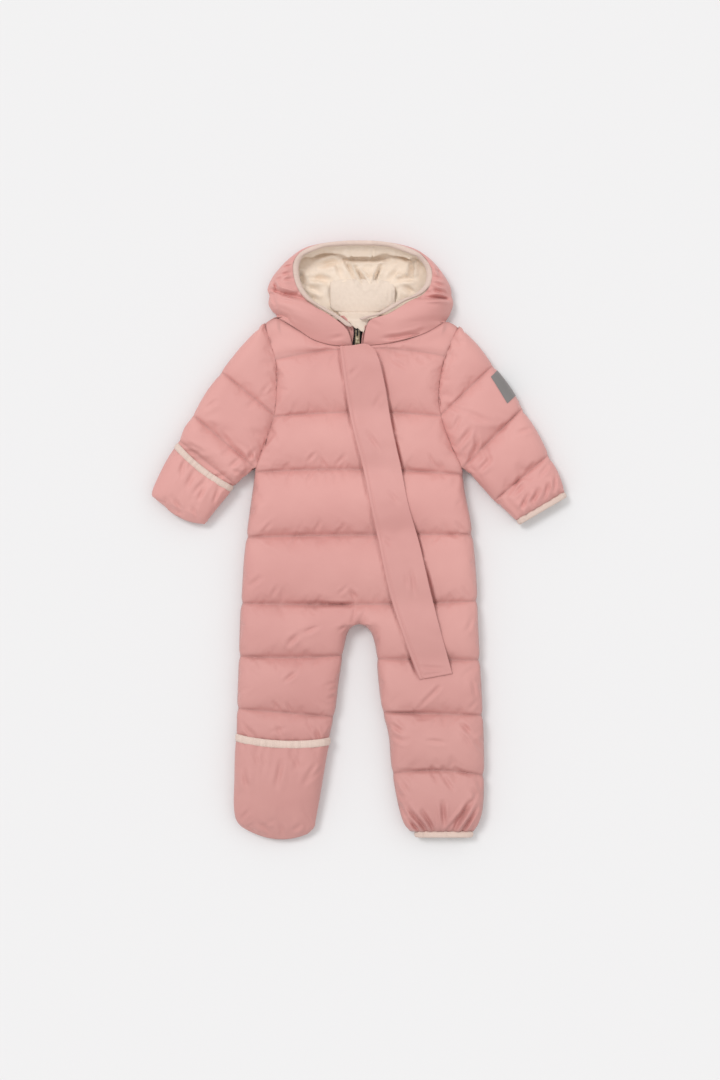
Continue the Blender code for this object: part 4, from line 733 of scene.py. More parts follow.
def coverPlace(table, sag, tipBulge):
    gathers = covers["gathers"]
    middles = [mixPoint(row["a"], row["b"], 0.5) for row in table]
    length = sum(map(math.dist, middles, middles[1:]))
    total, last = round((length + tipBulge) / covers["cell"]), len(table) - 1

    def place(w, v):
        at = v * last
        a, b = (Vector(smoothPoint([row[key] for row in table], at)) for key in ("a", "b"))
        top = smoothPoint([(row["top"],) for row in table], at)[0]
        share = (1 - math.cos(math.tau * w)) / 2
        along = (b - a).normalized()
        down = Vector((along.y, -along.x))
        width = (b - a).length
        dip = sag * clamp(1 - at / 2) + tipBulge * max(at - (last - 2), 0.0) ** 1.3 / 2.4
        point = a.lerp(b, share) + down * dip * 4 * share * (1 - share)
        sideDepth = bothSides(share, width, covers["round"])
        tip = rounding((1 - v) * length, covers["tipRound"])
        fromMouth = v * length
        fold = math.sin(math.tau * (share * gathers + 0.6 * ripple(share * gathers, v * 2.0, 1.3, 6.0)))
        drawn = math.exp(-fromMouth / 26.0) * (0.3 + 0.7 * rounding(fromMouth, 8.0))
        wrinkle = 1.7 * fold + 1.1 * ripple(share * width, fromMouth * 0.3, 6.0, 12.0)
        top += drawn * wrinkle * sideDepth
        if w <= 0.5:
            top += creases(coverCreases, point.x, point.y)
        z = mix(meet, top if w <= 0.5 else 0.0, min(sideDepth, tip))
        if v == 0.0 or v == 1.0 or share < 0.001 or share > 0.999:
            return point.x, point.y, z, 1.0
        return point.x, point.y, z, seamSlack(min(fromMouth, (1 - v) * length), point.x, point.y)
    return total, place


def buildCover(name, table, sag, tipBulge, node):
    total, place = coverPlace(table, sag, tipBulge)
    piece = clothPiece(name, [(covers["around"], total, place, (0.25, 0.14))], shellFinish)
    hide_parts(node)
    return piece


mittenCover = buildCover("mittenCover", covers["mitten"], covers["mittenSag"], 6.0, "mitten_cover")
footCover = buildCover("footCover", covers["foot"], covers["footSag"], 7.0, "foot_cover")
print("mitten and foot cover cut")


# hood

hood = dict(
    # sections from the crown to the neck: outer edge, rim, the seam's y on the back, the crest's place in from
    # the outer edge and its height, the rim's height, the padding's thickness
    right=named("out rim seam crest rimTop wall",
        ((-16.3, 404.6), (-16.3, 403.6), 385, (1, 20), 29, 6),
        ((-50, 401.2), (-49, 400), 379, (1, 20), 29.5, 6.2), ((-78, 394), (-75, 391.5), 372, (2, 23), 30.5, 6.8),
        ((-99, 378), (-88, 378), 368, (6, 29), 32, 8), ((-116.5, 360), (-89.5, 361), 357, (13, 35), 33, 9),
        ((-125, 342), (-84, 341), 345, (20, 37), 33.5, 9.5), ((-123, 332), (-74, 326), 336, (20, 31), 32, 9.5),
        ((-123.5, 320), (-58, 314.5), 326, (24, 39), 34, 9.5),
        ((-118, 311), (-35.6, 300.8), 318, (30, 38.5), 34.5, 9.5),
        ((-113, 306.6), (-16.8, 284.6), 311.5, (30, 33), 33, 7.5),
        ((-112, 303.3), (-9.5, 264.2), 306.6, (14, 23.5), 24, 5.4)),
    left=named("out rim seam crest rimTop wall",
        ((16.3, 404.6), (16.3, 403.6), 385, (1, 20), 29, 6), ((45, 401.8), (44, 400.4), 379, (1, 20), 29.5, 6.2),
        ((76, 393.6), (74, 391), 372, (2, 23), 30.5, 6.8), ((97, 379), (89, 379), 368, (5, 29), 32, 8),
        ((112, 362), (97, 364), 357, (9, 33), 33, 9), ((122.6, 345.4), (95, 345), 345, (13, 36), 33.5, 9.5),
        ((125.6, 331), (84, 331), 336, (18, 31), 32, 9.5), ((126.5, 320), (66, 322), 326, (24, 39), 34, 9.5),
        ((122, 307.5), (38.6, 306), 318, (30, 38.5), 34.5, 9.5),
        ((117, 299.2), (12, 296.4), 311, (30, 33), 33, 7.5),
        ((115.6, 296.4), (3.8, 266.2), 306.6, (14, 23.5), 24, 5.4)),
    stripHalf=16.0, rimWall=3.4, contact=13.0, neckStart=8.0, neckFloor=16.6, neckGap=0.2, leanRise=6.5, gap=0.3,
    sections=10.0, lining=1.8, neckBlend={10: 1.0, 9: 0.45, 8: 0.12}, floorShare=0.28)


def hoodValue(table, key, at):
    values = [row[key] if isinstance(row[key], tuple) else (row[key],) for row in table]
    return smoothPoint(values, at)


def neckShift(table, at, share):
    # how far a section leaves a straight run to follow the neck seam
    index = min(int(at), len(table) - 2)
    blends = [hood["neckBlend"].get(index + k, 0.0) for k in (0, 1)]
    x, straight = mixPoint(table[-1]["out"], table[-1]["rim"], share)
    return (smoothValue(body["frontNeck"], x) + hood["neckGap"] - straight) * mix(*blends, at - index)


def hoodPoint(table, at, along, wallShare, extra):
    # along 0 = the centre panel's seam on the surface, 1 = the rim; depth in from the outer face
    out, rim = Vector(hoodValue(table, "out", at)), Vector(hoodValue(table, "rim", at))
    seam = Vector((math.copysign(hood["stripHalf"], out.x), hoodValue(table, "seam", at)[0]))
    crest, rimTop = hoodValue(table, "crest", at), hoodValue(table, "rimTop", at)[0]
    depth = hoodValue(table, "wall", at)[0] * wallShare + extra
    rimDepth = hood["rimWall"] * wallShare + extra
    floorRun, overRun = (seam - out).length, (rim - out).length
    contact = min(max(hood["contact"], depth + 3.0), floorRun * 0.8)
    top = Vector((min(crest[0], overRun * 0.6), crest[1]))
    end = Vector((overRun, rimTop))
    lean = (end - Vector((0.0, 0.35 * crest[1]))).normalized()
    over = top + Vector((lean.y, -lean.x)) * mix(depth, rimDepth, 0.3)
    lean = (end - top).normalized()
    last = end + Vector((lean.y, -lean.x)) * rimDepth
    over.x = min(over.x, max(last.x - 3.0, depth))
    drop = extra + hood["gap"] if extra > 0.0 else 0.0
    if at > hood["neckStart"]:
        lowest = hood["neckFloor"] - drop + (0.0 if wallShare else 6.0)
        share = min(at - hood["neckStart"], 1.0)
        for point in (over, last):
            point.y = mix(point.y, max(point.y, lowest), share)
    first = Vector((contact, depth))
    side = Vector((depth, mix(depth, over.y, 0.35)))
    curve = [tuple(point) for point in (first + Vector((hood["contact"] * 0.5, 0.0)), first, side, over, last)]
    if along < hood["floorShare"]:
        place = Vector((mix(floorRun, contact, along / hood["floorShare"]), depth))
    else:
        place = Vector(smoothPoint(curve, 1 + 3 * (along - hood["floorShare"]) / (1 - hood["floorShare"])))
    low = out.lerp(seam, place.x / floorRun)
    share = place.x / overRun
    high = out.lerp(rim, share)
    high.y += neckShift(table, at, clamp(share))
    x, y = low.lerp(high, clamp((place.y - meet) / hood["leanRise"]))
    return x, y, place.y


hoodCreases = (
    (-124.3, 341, -105.6, 335, 2.2, 3), (-105.6, 335, -84, 330, 2.2, 1), (-117.3, 346.8, -105.6, 336, 2, 2.6),
    (-82.2, 329.2, -64.7, 319.5, 2.2, 0.4), (126.5, 330.2, 108, 334, 2.2, 2.6), (108, 334, 93.3, 344, 2.2, 1.8),
    (126.5, 325.6, 97.4, 327.3, 2.4, 1.6), (104, 372, 108, 352, 2.4, 1.8), (-92, 330, -76, 336, 2.2, 1.6),
    (54, 276, 72, 281, 2.2, 2.2), (72, 281, 88, 286, 2.2, 1.8), (30, 273, 54, 274.5, 2.2, 1.8),
    (-116.6, 342.2, -111.6, 335.5, 2.4, 3), (-111.6, 335.5, -77.9, 327, 2.8, 4.4),
    (-77.9, 327, -64.4, 320.2, 2.2, 1.4), (126.4, 327, 89.9, 327, 2.8, 4.6), (85.9, 327, 70.6, 328.7, 2.2, 1.2),
    (117.9, 335.5, 85.9, 333, 2.2, 1.6), (-99.3, 381.4, -90.6, 377.6, 1.6, 2),
    (-103.8, 367.5, -92.4, 370.2, 1.6, 2.2), (-108, 357, -93, 360, 1.8, 2), (-112, 350, -100, 356, 1.8, 2),
    (-100, 374, -92, 374.4, 1.4, 1.6), (-104, 350, -90, 352, 1.8, 1.6), (-64.4, 320.2, -52, 313, 2, 2.6),
    (-115, 349, -110, 337, 1.8, 3.2), (-60, 331, -72, 340, 2, 1.2), (98, 355, 113.5, 350.6, 1.8, 1.6),
    (96.3, 346.6, 114.1, 342.2, 1.8, 1.6), (93, 338, 108, 336, 1.6, 1.3), (100, 364, 111, 360, 1.6, 1.3),
    (98, 374, 106, 371, 1.5, 1), (118, 340, 124, 330, 1.8, 1.9), (-111.6, 308.5, -98, 301.7, 2.2, 2.2),
    (-98, 301.7, -91.4, 291.6, 2, 1.6), (36.9, 274.7, 62.2, 276.3, 2.4, 2.4),
    (62.2, 276.3, 87.5, 281.5, 2.4, 2.2), (-118, 330, -112, 316, 2.4, 1.5), (-40, 272, -22, 276, 2.4, 1.2),
    (14, 296, 26, 288, 2.4, 1.1))
liningCreases = (
    (-25, 384, -7, 382, 3.4, 5), (-12, 382.2, 24, 382.2, 3.4, 5), (18, 382.2, 38, 384, 3.4, 5),
    (-20, 381, -6, 356, 2.5, 5.4), (-5.5, 370, 7.5, 349, 2.4, 7.6), (28.5, 372, 19.5, 350, 2.4, 7.4),
    (-54, 372.5, -28, 380.4, 4, 4.2), (-82, 360.4, -75.5, 347, 3.4, 6), (72.9, 377, 70.2, 355, 2.8, 6.2),
    (-67, 333.1, -58.3, 324.3, 3, 3), (-40.8, 350, -40.6, 324, 2.8, 2.2), (49.4, 340, 47.4, 324, 2.6, 3.4),
    (54, 369, 38, 352, 3.4, 3.2), (-60, 364, -44, 350, 4, 3), (59, 345, 75, 335, 3.4, 3),
    (-72, 345, -56, 337, 3.4, 2.8), (-32, 377, -24, 356, 3, 3), (-64, 385, -42, 391, 3.4, 2.4),
    (52, 389, 72, 379, 3.4, 2.8), (-70, 356, -40, 353.5, 3.4, 3.4), (46, 352.5, 76, 356, 3.4, 3),
    (12, 362, 17, 353, 2.2, 2.4), (58, 366, 64, 354, 2.6, 2.6))


def heldEdge(u, v):
    return 1.0 if u in (0.0, 1.0) or v in (0.0, 1.0) else 0.0


def shellPlace(table):
    def place(u, v):
        at = hood["sections"] * v
        x, y, z = hoodPoint(table, at, u, 0.0, 0.0)
        z += creases(hoodCreases, x, y) * ease((z - 20.0) / 8.0)
        return x, y, z, heldEdge(u, v)
    return place


def liningRoll(at, along):
    # the lining rolls over inside the top of the rim and drops into a fold below it
    return 9.5 * math.exp(-((along - 0.72) / 0.17) ** 2) * ease((4.2 - at) / 2.4)


def liningLift(x, y, z):
    # how far the fleece stands off the shell's inside, with its folds on the back
    return (1.6 + creases(liningCreases, x, y)) * ease((27.0 - z) / 6.0)


rimSeams = ((-10.5, 400, -11.5, 385, 1.7, 1.5), (16.8, 400, 18.6, 383, 1.7, 1.7))


def liningPlace(table, folds):
    def place(u, v):
        at = hood["sections"] * v
        extra = hood["gap"] + liningRoll(at, u)
        x, y, z = hoodPoint(table, at, u, 1.0, extra)
        x0, y0, z0 = hoodPoint(table, at, u, 1.0, extra + 3.0)
        lift = (folds(u, v, x, y) + liningLift(x, y, z) + creases(rimSeams, x, y)) / 3.0
        return mix(x, x0, lift), mix(y, y0, lift), mix(z, z0, lift), 0.0
    return place


def sideFolds(u, v, x, y):
    # soft folds that run out from the neck, deeper towards the rim's corner
    wave = 1.9 * ripple(x * 0.7, y * 0.7, 17.0, 5.0) + 0.7 * ripple(x, y, 7.0, 8.0)
    return 0.9 + max(wave, -0.7) * math.sin(math.pi * u) * math.sin(math.pi * v)


wallDepths = [(row["seam"], row["wall"]) for row in hood["right"]]


def centrePlace(wallShare, extra, lifts, half):
    # the side panel's first section swept across the strip, then down the back to the neck
    flatRows, low = 0.55, 306.6
    firstWall = hood["right"][0]["wall"]

    def place(u, v):
        x = mix(-half, half, u)
        held = heldEdge(u, v)
        if v < flatRows:
            _, start, floor = hoodPoint(hood["right"], 0.0, hood["floorShare"], wallShare, extra)
            y = mix(low, start, v / flatRows)
            floor += (smoothValue(wallDepths, y) - firstWall) * wallShare
            return x, y, floor + lifts(x, y, floor), held
        along = mix(hood["floorShare"], 1.0, (v - flatRows) / (1 - flatRows))
        depth = extra + (liningRoll(0.0, along) if wallShare else 0.0)
        _, y, z = hoodPoint(hood["right"], 0.0, along, wallShare, depth)
        _, y0, z0 = hoodPoint(hood["right"], 0.0, along, wallShare, depth + 3.0)
        lift = lifts(x, y, z) / 3.0
        return x, mix(y, y0, lift), mix(z, z0, lift), held
    return place


def noLift(x, y, z):
    return 0.0


def stripLift(x, y, z):
    return 0.65 + liningLift(x, y, z) + creases(rimSeams, x, y)


def hoodPiece(name, across, down, place, finish, towards=None, inward=False, size=(0.2, 0.34)):
    return clothPiece(name, [(across, down, place, size)], finish, towards, inward=inward)


strip = (0.032, 0.14)
hoodRight = hoodPiece("hoodRight", 74, 120, shellPlace(hood["right"]), shellFinish)
hoodLeft = hoodPiece("hoodLeft", 74, 120, shellPlace(hood["left"]), shellFinish)
hoodBack = hoodPiece("hoodBack", 12, 60, centrePlace(0.0, 0.0, noLift, 16.1), shellFinish, (0, 0, -1), size=strip)
liningRight = hoodPiece("liningRight", 112, 190, liningPlace(hood["right"], sideFolds), liningFinish, inward=True)
liningLeft = hoodPiece("liningLeft", 112, 190, liningPlace(hood["left"], sideFolds), liningFinish, inward=True)
liningBack = hoodPiece("liningBack", 18, 110, centrePlace(1.0, hood["gap"], stripLift, 18.0), liningFinish,
                       (0, 0, 1), size=strip)
for piece, node in ((hoodRight, "hood_side_right"), (hoodLeft, "hood_side_left"), (hoodBack, "hood_centre"),
                    (liningRight, "hood_lining_right"), (liningLeft, "hood_lining_left"),
                    (liningBack, "hood_lining_centre")):
    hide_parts(node)
print("hood cut")


# bindings

bands = dict(halfWidth=5.0, halfThick=3.4, gap=-1.4, lowRise=2.8, mouthThick=2.0, cuffLength=8.8, slit=0.6,
             cuffRound=11.0, overlap=1.2, around=20, steps=110, mouthSteps=120)


def frameGrid(name, frames, halfWidth, halfThick, gather):
    # rounded band along a path of (middle, width way, thickness way), its ends drawn closed
    last = len(frames) - 1

    def place(u, v):
        at = v * last
        middle, out, up = (Vector(part) for part in frames[min(round(at), last)])
        turn = math.tau * u
        closing = rounding(min(at, last - at) + 0.02, 2.0)
        wave = 1 + gather * ripple(middle.x * 1.0, middle.y, 3.2, 2.0)
        across = out * math.cos(turn) * halfWidth * closing
        point = middle + across + up * math.sin(turn) * halfThick * closing * wave
        return point.x, point.y, point.z, 0.0
    length = sum(math.dist(a[0], b[0]) for a, b in zip(frames, frames[1:])) * mm
    return clothPiece(name, [(bands["around"], last, place, (0.02, length))], bindingFinish)


def rimFrames(table, end, lowGap):
    frames, steps = [], bands["steps"]
    for k in range(steps + 1):
        at = end * k / steps
        low = ease((at - 4.5) / 3.0)
        before, rim = (Vector(hoodPoint(table, at, along, 0.0, 0.0)) for along in (0.96, 1.0))
        inside = Vector(hoodPoint(table, at, 1.0, 1.0, hood["lining"] + hood["gap"]))
        inward = (rim - before).normalized()
        up = rim - inside
        up = (up - inward * up.dot(inward)).normalized()
        middle = (rim + inside) / 2 + inward * (bands["halfWidth"] + bands["gap"] + lowGap * low)
        frames.append((middle + up * bands["lowRise"] * low, inward, up))
    return frames


def mouthFrames(table, sag, halfWidth):
    place = coverPlace(table, sag, 0.0)[1]
    steps = bands["mouthSteps"]
    points = [Vector(place(0.02 + 0.46 * k / steps, 0.0)[:3]) for k in range(steps + 1)]
    a, b = Vector(table[0]["a"]), Vector(table[0]["b"])
    along = (b - a).normalized()
    ahead = Vector((-along.y, along.x, 0.0))
    frames = []
    for k, point in enumerate(points):
        run = (points[min(k + 1, steps)] - points[max(k - 1, 0)]).normalized()
        out = (ahead - run * ahead.dot(run)).normalized()
        up = run.cross(out)
        if up.z < 0:
            up = -up
        frames.append((point + out * (halfWidth - 3.0) + up * 0.4, out, up))
    return frames


def cuffBinding(name, a, b, low, top, gather):
    # elastic binding round an open, flat cuff: over the edge and back inside
    a, b = Vector(a), Vector(b)
    along = (b - a).normalized()
    outward = Vector((along.y, -along.x))
    a, b = a - outward * bands["overlap"], b - outward * bands["overlap"]
    width = (b - a).length

    def place(u, v):
        turn = math.tau * v
        shift = (0.5 - 0.5 * math.cos(turn)) * bands["cuffLength"]
        inset = 0.5 - 0.5 * math.sin(turn)
        share = (1 - math.cos(math.tau * u)) / 2
        wave = gather * ripple(share * width, 7.0 if u < 0.5 else 19.0, 4.0, 6.0)
        point = a.lerp(b, share)
        edge = bothSides(share, width, bands["cuffRound"])
        outer = mix(meet, (top + 1.3 + wave) if u <= 0.5 else max(low - 1.4, 0.0), edge)
        inner = meet + (bands["slit"] if u <= 0.5 else -bands["slit"])
        inner = mix(inner, mix(outer, inner, 0.7), edge)
        side = 5.0 * inset * (1 - 2 * share)
        point = point + along * (side if abs(1 - 2 * share) > 0.9 else side * 0.2) + outward * shift
        return point.x, point.y, mix(outer, inner, inset), 0.0
    return clothPiece(name, [(160, 18, place, (0.2, 0.02))], bindingFinish)


def mouthBinding(name, table, sag, halfWidth):
    return frameGrid(name, mouthFrames(table, sag, halfWidth), halfWidth, bands["mouthThick"], 0.12)


hoodRim = rimFrames(hood["right"], 8.78, 3.8)[::-1] + rimFrames(hood["left"], 8.95, 7.0)[1:]
hoodBinding = frameGrid("hoodBinding", hoodRim, bands["halfWidth"], bands["halfThick"], 0.06)
mittenBinding = mouthBinding("mittenBinding", covers["mitten"], covers["mittenSag"], 4.5)
footBinding = mouthBinding("footBinding", covers["foot"], covers["footSag"], 5.3)
cuffLeft = cuffBinding("cuffBinding", (211.0, 28.4), (276.6, 66.9), 2.0, 20.0, 1.2)
ankleLeft = cuffBinding("ankleBinding", (73.5, -391.5), (153.5, -391.5), 2.0, 20.0, 1.4)
for piece, node in ((hoodBinding, "hood_binding"), (mittenBinding, "mitten_binding"),
                    (footBinding, "foot_binding"), (cuffLeft, "cuff_binding_left"),
                    (ankleLeft, "ankle_binding_left")):
    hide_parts(node)
print("bindings made")


# neck facing and chin guard

facing = dict(
    columns=(
        (-40, 350, 316.5), (-34, 353, 310.8), (-20, 354, 309), (4, 354, 308.6), (22, 353, 309.2),
        (34, 352, 312.5), (48, 349, 320)),
    left=-40.0, right=48.0, clear=0.6, crown=1.3, reach=25.0)
liningFloors = [surfaceBelow(piece) for piece in (liningRight, liningLeft, liningBack)]


def liningHeight(x, y):
    # the fleece's height around a point, so that the facing bridges its folds
    heights = []
    for dx, dy in ((0.0, 0.0), (-6.0, 0.0), (6.0, 0.0), (0.0, -6.0), (0.0, 6.0)):
        hits = [castDown(surface, x + dx, y + dy, facing["reach"]) for surface in liningFloors]
        heights.append(max((hit.z / mm for hit in hits if hit is not None), default=12.0))
    return mix(max(heights), sum(heights) / len(heights), 0.35)


def facingPlace(u, v):
    x, wide = mix(facing["left"], facing["right"], u), facing["right"] - facing["left"]
    top, bottom = (smoothValue([(row[0], row[k]) for row in facing["columns"]], x) for k in (1, 2))
    edge = min(bothSides(u, wide, 7.0), rounding(v * (top - bottom), 5.0))
    y = mix(bottom, top, v)
    z = liningHeight(x, y) + facing["clear"] + facing["crown"] * edge - 1.9 * ease((v - 0.7) / 0.3)
    return x, y, z + 0.4 * ripple(x, y, 17.0, 4.0), 0.0


neckFacing = clothPiece("neckFacing", [(70, 36, facingPlace, (0.09, 0.045))], facingFinish, (0, 0, 1))
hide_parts("neck_facing")

# the guard is a triangle of fleece that comes up from under the collar's edges
guard = dict(
    left=(
        (-33, 314), (-26, 305), (-14.6, 294.8), (-5.6, 286.2), (4.7, 281.5)),
    right=(
        (36, 313), (25, 304), (13.6, 298), (9, 289.5), (5.4, 281.3)),
    low=12.0, high=26.8)


def guardPlace(u, v):
    a, b = smoothPoint(guard["left"], v * 4), smoothPoint(guard["right"], v * 4)
    x, y = mixPoint(a, b, u)
    rise = ease((309.6 - y) / 13.0)
    return x, y, mix(guard["low"], guard["high"], rise) + 0.9 * pillow(u) * pillow(v), 0.0


chinGuard = clothPiece("chinGuard", [(30, 40, guardPlace, (0.035, 0.032))], facingFinish, (0, 0, 1))
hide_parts("zip_guard")

# fleece inside the neck, from under the hood's lining up to the front's edge
inside = dict(
    half=104.0,
    rows=(
        (318, 4.6), (309, 4.8), (304.5, 8), (301.5, 14.5), (299, 20.6)))


def insidePlace(u, v):
    y, z = smoothPoint(inside["rows"], v * 4)
    x = mix(-inside["half"], inside["half"], u)
    return x, y + 0.5 * ripple(x, y, 15.0, 6.0), z, 0.0


neckLining = clothPiece("neckLining", [(70, 16, insidePlace, (0.2, 0.03))], liningFinish, (0, 0, 1))
print("facing and guard made")


# zip: black tapes and teeth, with the shell's turned edges lying beside them

zipper = dict(
    x=-3.0, height=21.8,
    rows=(
        (264.5, -10.3, 1.2), (274, -9.3, 2.8), (286, -6.4, 3.8), (291, -5.4, 4.6)),
    teeth=12, pitch=1.5, toothHalf=3.4,
    outer=(
        ((-33, 303), (-25, 293), (-17, 282), (-14, 264.4)), ((13, 292), (11, 285), (9.5, 276), (9, 264.4))),
    inner=(
        ((-21, 303.4), (-12.4, 293.6), (-7.6, 284), (-10.2, 264.4)),
        ((6.8, 290), (4.6, 283), (2.8, 275), (1.6, 264.4))))


def tapePlace(u, v):
    y = mix(zipper["rows"][0][0], zipper["rows"][-1][0], v)
    left, right = (smoothValue([(row[0], row[k]) for row in zipper["rows"]], y) for k in (1, 2))
    x = mix(left, right, u)
    return x, y, zipper["height"] + 0.5 * math.exp(-((x - zipper["x"]) / 2.6) ** 2), 0.0


def edgePlace(side):
    # the shell's edge turned under beside the zip, in two soft plies
    outer, inner = zipper["outer"][side], zipper["inner"][side]

    def place(u, v):
        x, y = mixPoint(smoothPoint(outer, v * 3), smoothPoint(inner, v * 3), u)
        ply = 1.5 * math.exp(-((u - 0.8) / 0.16) ** 2) + 0.9 * math.exp(-((u - 0.42) / 0.12) ** 2)
        return x, y, mix(27.0, 22.6, ease(v * 1.3)) - 1.6 * (1 - u) + ply + 0.4 * ripple(x, y, 6.0, 2.0), 0.0
    return place


def makeTeeth():
    teeth = bpy.data.meshes.new("zipTeeth")
    shape = bmesh.new()
    for k in range(zipper["teeth"]):
        made = bmesh.ops.create_cube(shape, size=1.0)["verts"]
        size = Vector((2 * zipper["toothHalf"], 0.55 * zipper["pitch"], 1.0))
        bmesh.ops.scale(shape, vec=size * mm, verts=made)
        place = Vector((zipper["x"], 264.8 + k * zipper["pitch"], zipper["height"] + 0.5))
        bmesh.ops.translate(shape, vec=place * mm, verts=made)
    bmesh.ops.bevel(shape, geom=shape.edges[:], offset=0.0002, segments=2, profile=0.5, affect="EDGES")
    writeShape(shape, teeth)
    return addPiece("zipTeeth", teeth, pullFinish)


zipTapes = clothPiece("zipTapes", [(18, 30, tapePlace, (0.013, 0.025))], tapeFinish, (0, 0, 1))
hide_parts("zip_tape")
edgeRight = clothPiece("shellEdgeRight", [(24, 40, edgePlace(0), (0.012, 0.04))], shellFinish, (0, 0, 1))
edgeLeft = clothPiece("shellEdgeLeft", [(24, 40, edgePlace(1), (0.008, 0.03))], shellFinish, (0, 0, 1))
zipTeeth = makeTeeth()


def addStitches(name, points, length, finish):
    # short thread stitches, each a slim bead sunk into the cloth
    thread = bpy.data.meshes.new(name)
    shape = bmesh.new()
    for point in points:
        made = bmesh.ops.create_uvsphere(shape, u_segments=8, v_segments=6, radius=0.5)["verts"]
        bmesh.ops.scale(shape, vec=Vector((0.9, length, 0.6)) * mm, verts=made)
        bmesh.ops.translate(shape, vec=Vector(point) * mm, verts=made)
    writeShape(shape, thread)
    return addPiece(name, thread, finish)


stitchPoints = [(4.9, 266.8 + 2.9 * k, 24.2 + 0.28 * k) for k in range(5)]
zipStitches = addStitches("zipStitches", stitchPoints, 1.9, threadFinish)
print("zip made")


# cloth settles

settling = dict(frames=22, mass=0.0015, tension=13.0, shear=5.0, bending=0.25, growth=0.09, cap=7.0, clear=1.4,
                paddedEdge=3.2, thinEdge=1.6)
puffs = [(frontShell, 30.0, meet), (backShell, 12.0, 0.0), (sleeveRight, 28.0, 0.0), (sleeveLeft, 28.0, 0.0),
         (mittenCover, 26.0, 0.0), (footCover, 28.0, 0.0),
         (hoodRight, 18.0, 0.0), (hoodLeft, 18.0, 0.0), (hoodBack, 8.0, 0.0)]


def startCloth(piece, pressure):
    group, firm = piece.vertex_groups.new(name="pinned"), piece.vertex_groups.new(name="firm")
    for index, held in enumerate(piece.data.attributes["sewn"].data):
        firm.add([index], 1.0 - clamp(held.value), "REPLACE")
        if held.value == 1.0:
            group.add([index], 1.0, "REPLACE")
    cloth = piece.modifiers.new("puff", "CLOTH")
    values = cloth.settings
    values.quality = 5
    values.mass = settling["mass"]
    values.tension_stiffness = values.compression_stiffness = settling["tension"]
    values.shear_stiffness = settling["shear"]
    values.bending_stiffness = settling["bending"]
    values.vertex_group_mass = group.name
    values.use_pressure = True
    values.uniform_pressure_force = pressure
    values.vertex_group_shrink = firm.name
    values.shrink_max, values.shrink_min = 0.0, -settling["growth"]
    values.effector_weights.gravity = 0.0
    cloth.collision_settings.use_collision = False
    cloth.collision_settings.use_self_collision = False
    cloth.point_cache.frame_end = settling["frames"]


def endCloth(piece, lowest):
    # keep the settled form, with no point far from where it was cut and none under the surface
    cage = piece.evaluated_get(bpy.context.evaluated_depsgraph_get())
    moved = [corner.co.copy() for corner in cage.to_mesh().vertices]
    cage.to_mesh_clear()
    cap = settling["cap"] * mm
    for corner, target in zip(piece.data.vertices, moved):
        step = target - corner.co
        if step.length > cap:
            step *= cap / step.length
        corner.co += step
        corner.co.z = max(corner.co.z, min(lowest * mm, corner.co.z - step.z))
    piece.modifiers.remove(piece.modifiers["puff"])


def pressFolds(piece, strokes, share, inside=None):
    # folds of the upper side that the filling has pushed out are pressed in again, down to the lining at most
    shape = readShape(piece)
    shape.normal_update()
    floor = surfaceBelow(inside) if inside else None
    for corner in shape.verts:
        if corner.normal.z > 0.1 and corner.co.z > (meet + 4.0) * mm:
            press = creases(strokes, corner.co.x / mm, corner.co.y / mm)
            corner.co.z += share * press * ease(corner.normal.z / 0.5) * mm
            above = Vector((corner.co.x, corner.co.y, 0.09))
            hit = floor.ray_cast(above, Vector((0.0, 0.0, -1.0)))[0] if floor else None
            if hit is not None and hit.z - corner.co.z < settling["clear"] * 5 * mm:
                corner.co.z = max(corner.co.z, hit.z + settling["clear"] * mm)
    writeShape(shape, piece.data)


shoulderSeams = ((-120.5, 279, -94, 295.2, 2, 1.1), (99.4, 289.4, 126, 278.4, 2, 1.1))


def paintSeamShade(piece, strokes):
    # short seams that show as a line alone, as painted shade: their sewn mark darkens the shell's colour
    for corner, sewn in zip(piece.data.vertices, piece.data.attributes["sewn"].data):
        seamShade = clamp(-creases(strokes, corner.co.x / mm, corner.co.y / mm)) * 0.94
        if corner.co.z > meet * mm:
            sewn.value = max(sewn.value, seamShade)


def turnEdges(piece, depth):
    # open edges are turned in, so that no edge shows as a bare sheet
    shape = readShape(piece)
    for step in (0.35, 0.65):
        shape.normal_update()
        edges = [edge for edge in shape.edges if edge.is_boundary]
        made = bmesh.ops.extrude_edge_only(shape, edges=edges)["geom"]
        for corner in [part for part in made if isinstance(part, bmesh.types.BMVert)]:
            others = [edge.other_vert(corner) for edge in corner.link_edges]
            source = min(others, key=lambda other: (other.co - corner.co).length)
            corner.co -= source.normal * depth * step * mm
    bmesh.ops.recalc_face_normals(shape, faces=shape.faces)
    for corner in shape.verts:
        corner.co.z = max(corner.co.z, 0.0)
    writeShape(shape, piece.data)


def smoothPiece(piece):
    smooth = piece.modifiers.new("smooth", "SUBSURF")
    smooth.levels = smooth.render_levels = 1


def sharpenSeams(piece):
    # quilting lines stay sharp when the cloth is smoothed
    shape = readShape(piece)
    sewn = shape.verts.layers.float["sewn"]
    sharp = shape.edges.layers.float.get("crease_edge") or shape.edges.layers.float.new("crease_edge")
    for edge in shape.edges:
        if all(corner[sewn] == 1.0 for corner in edge.verts):
            edge[sharp] = 0.8
    writeShape(shape, piece.data)


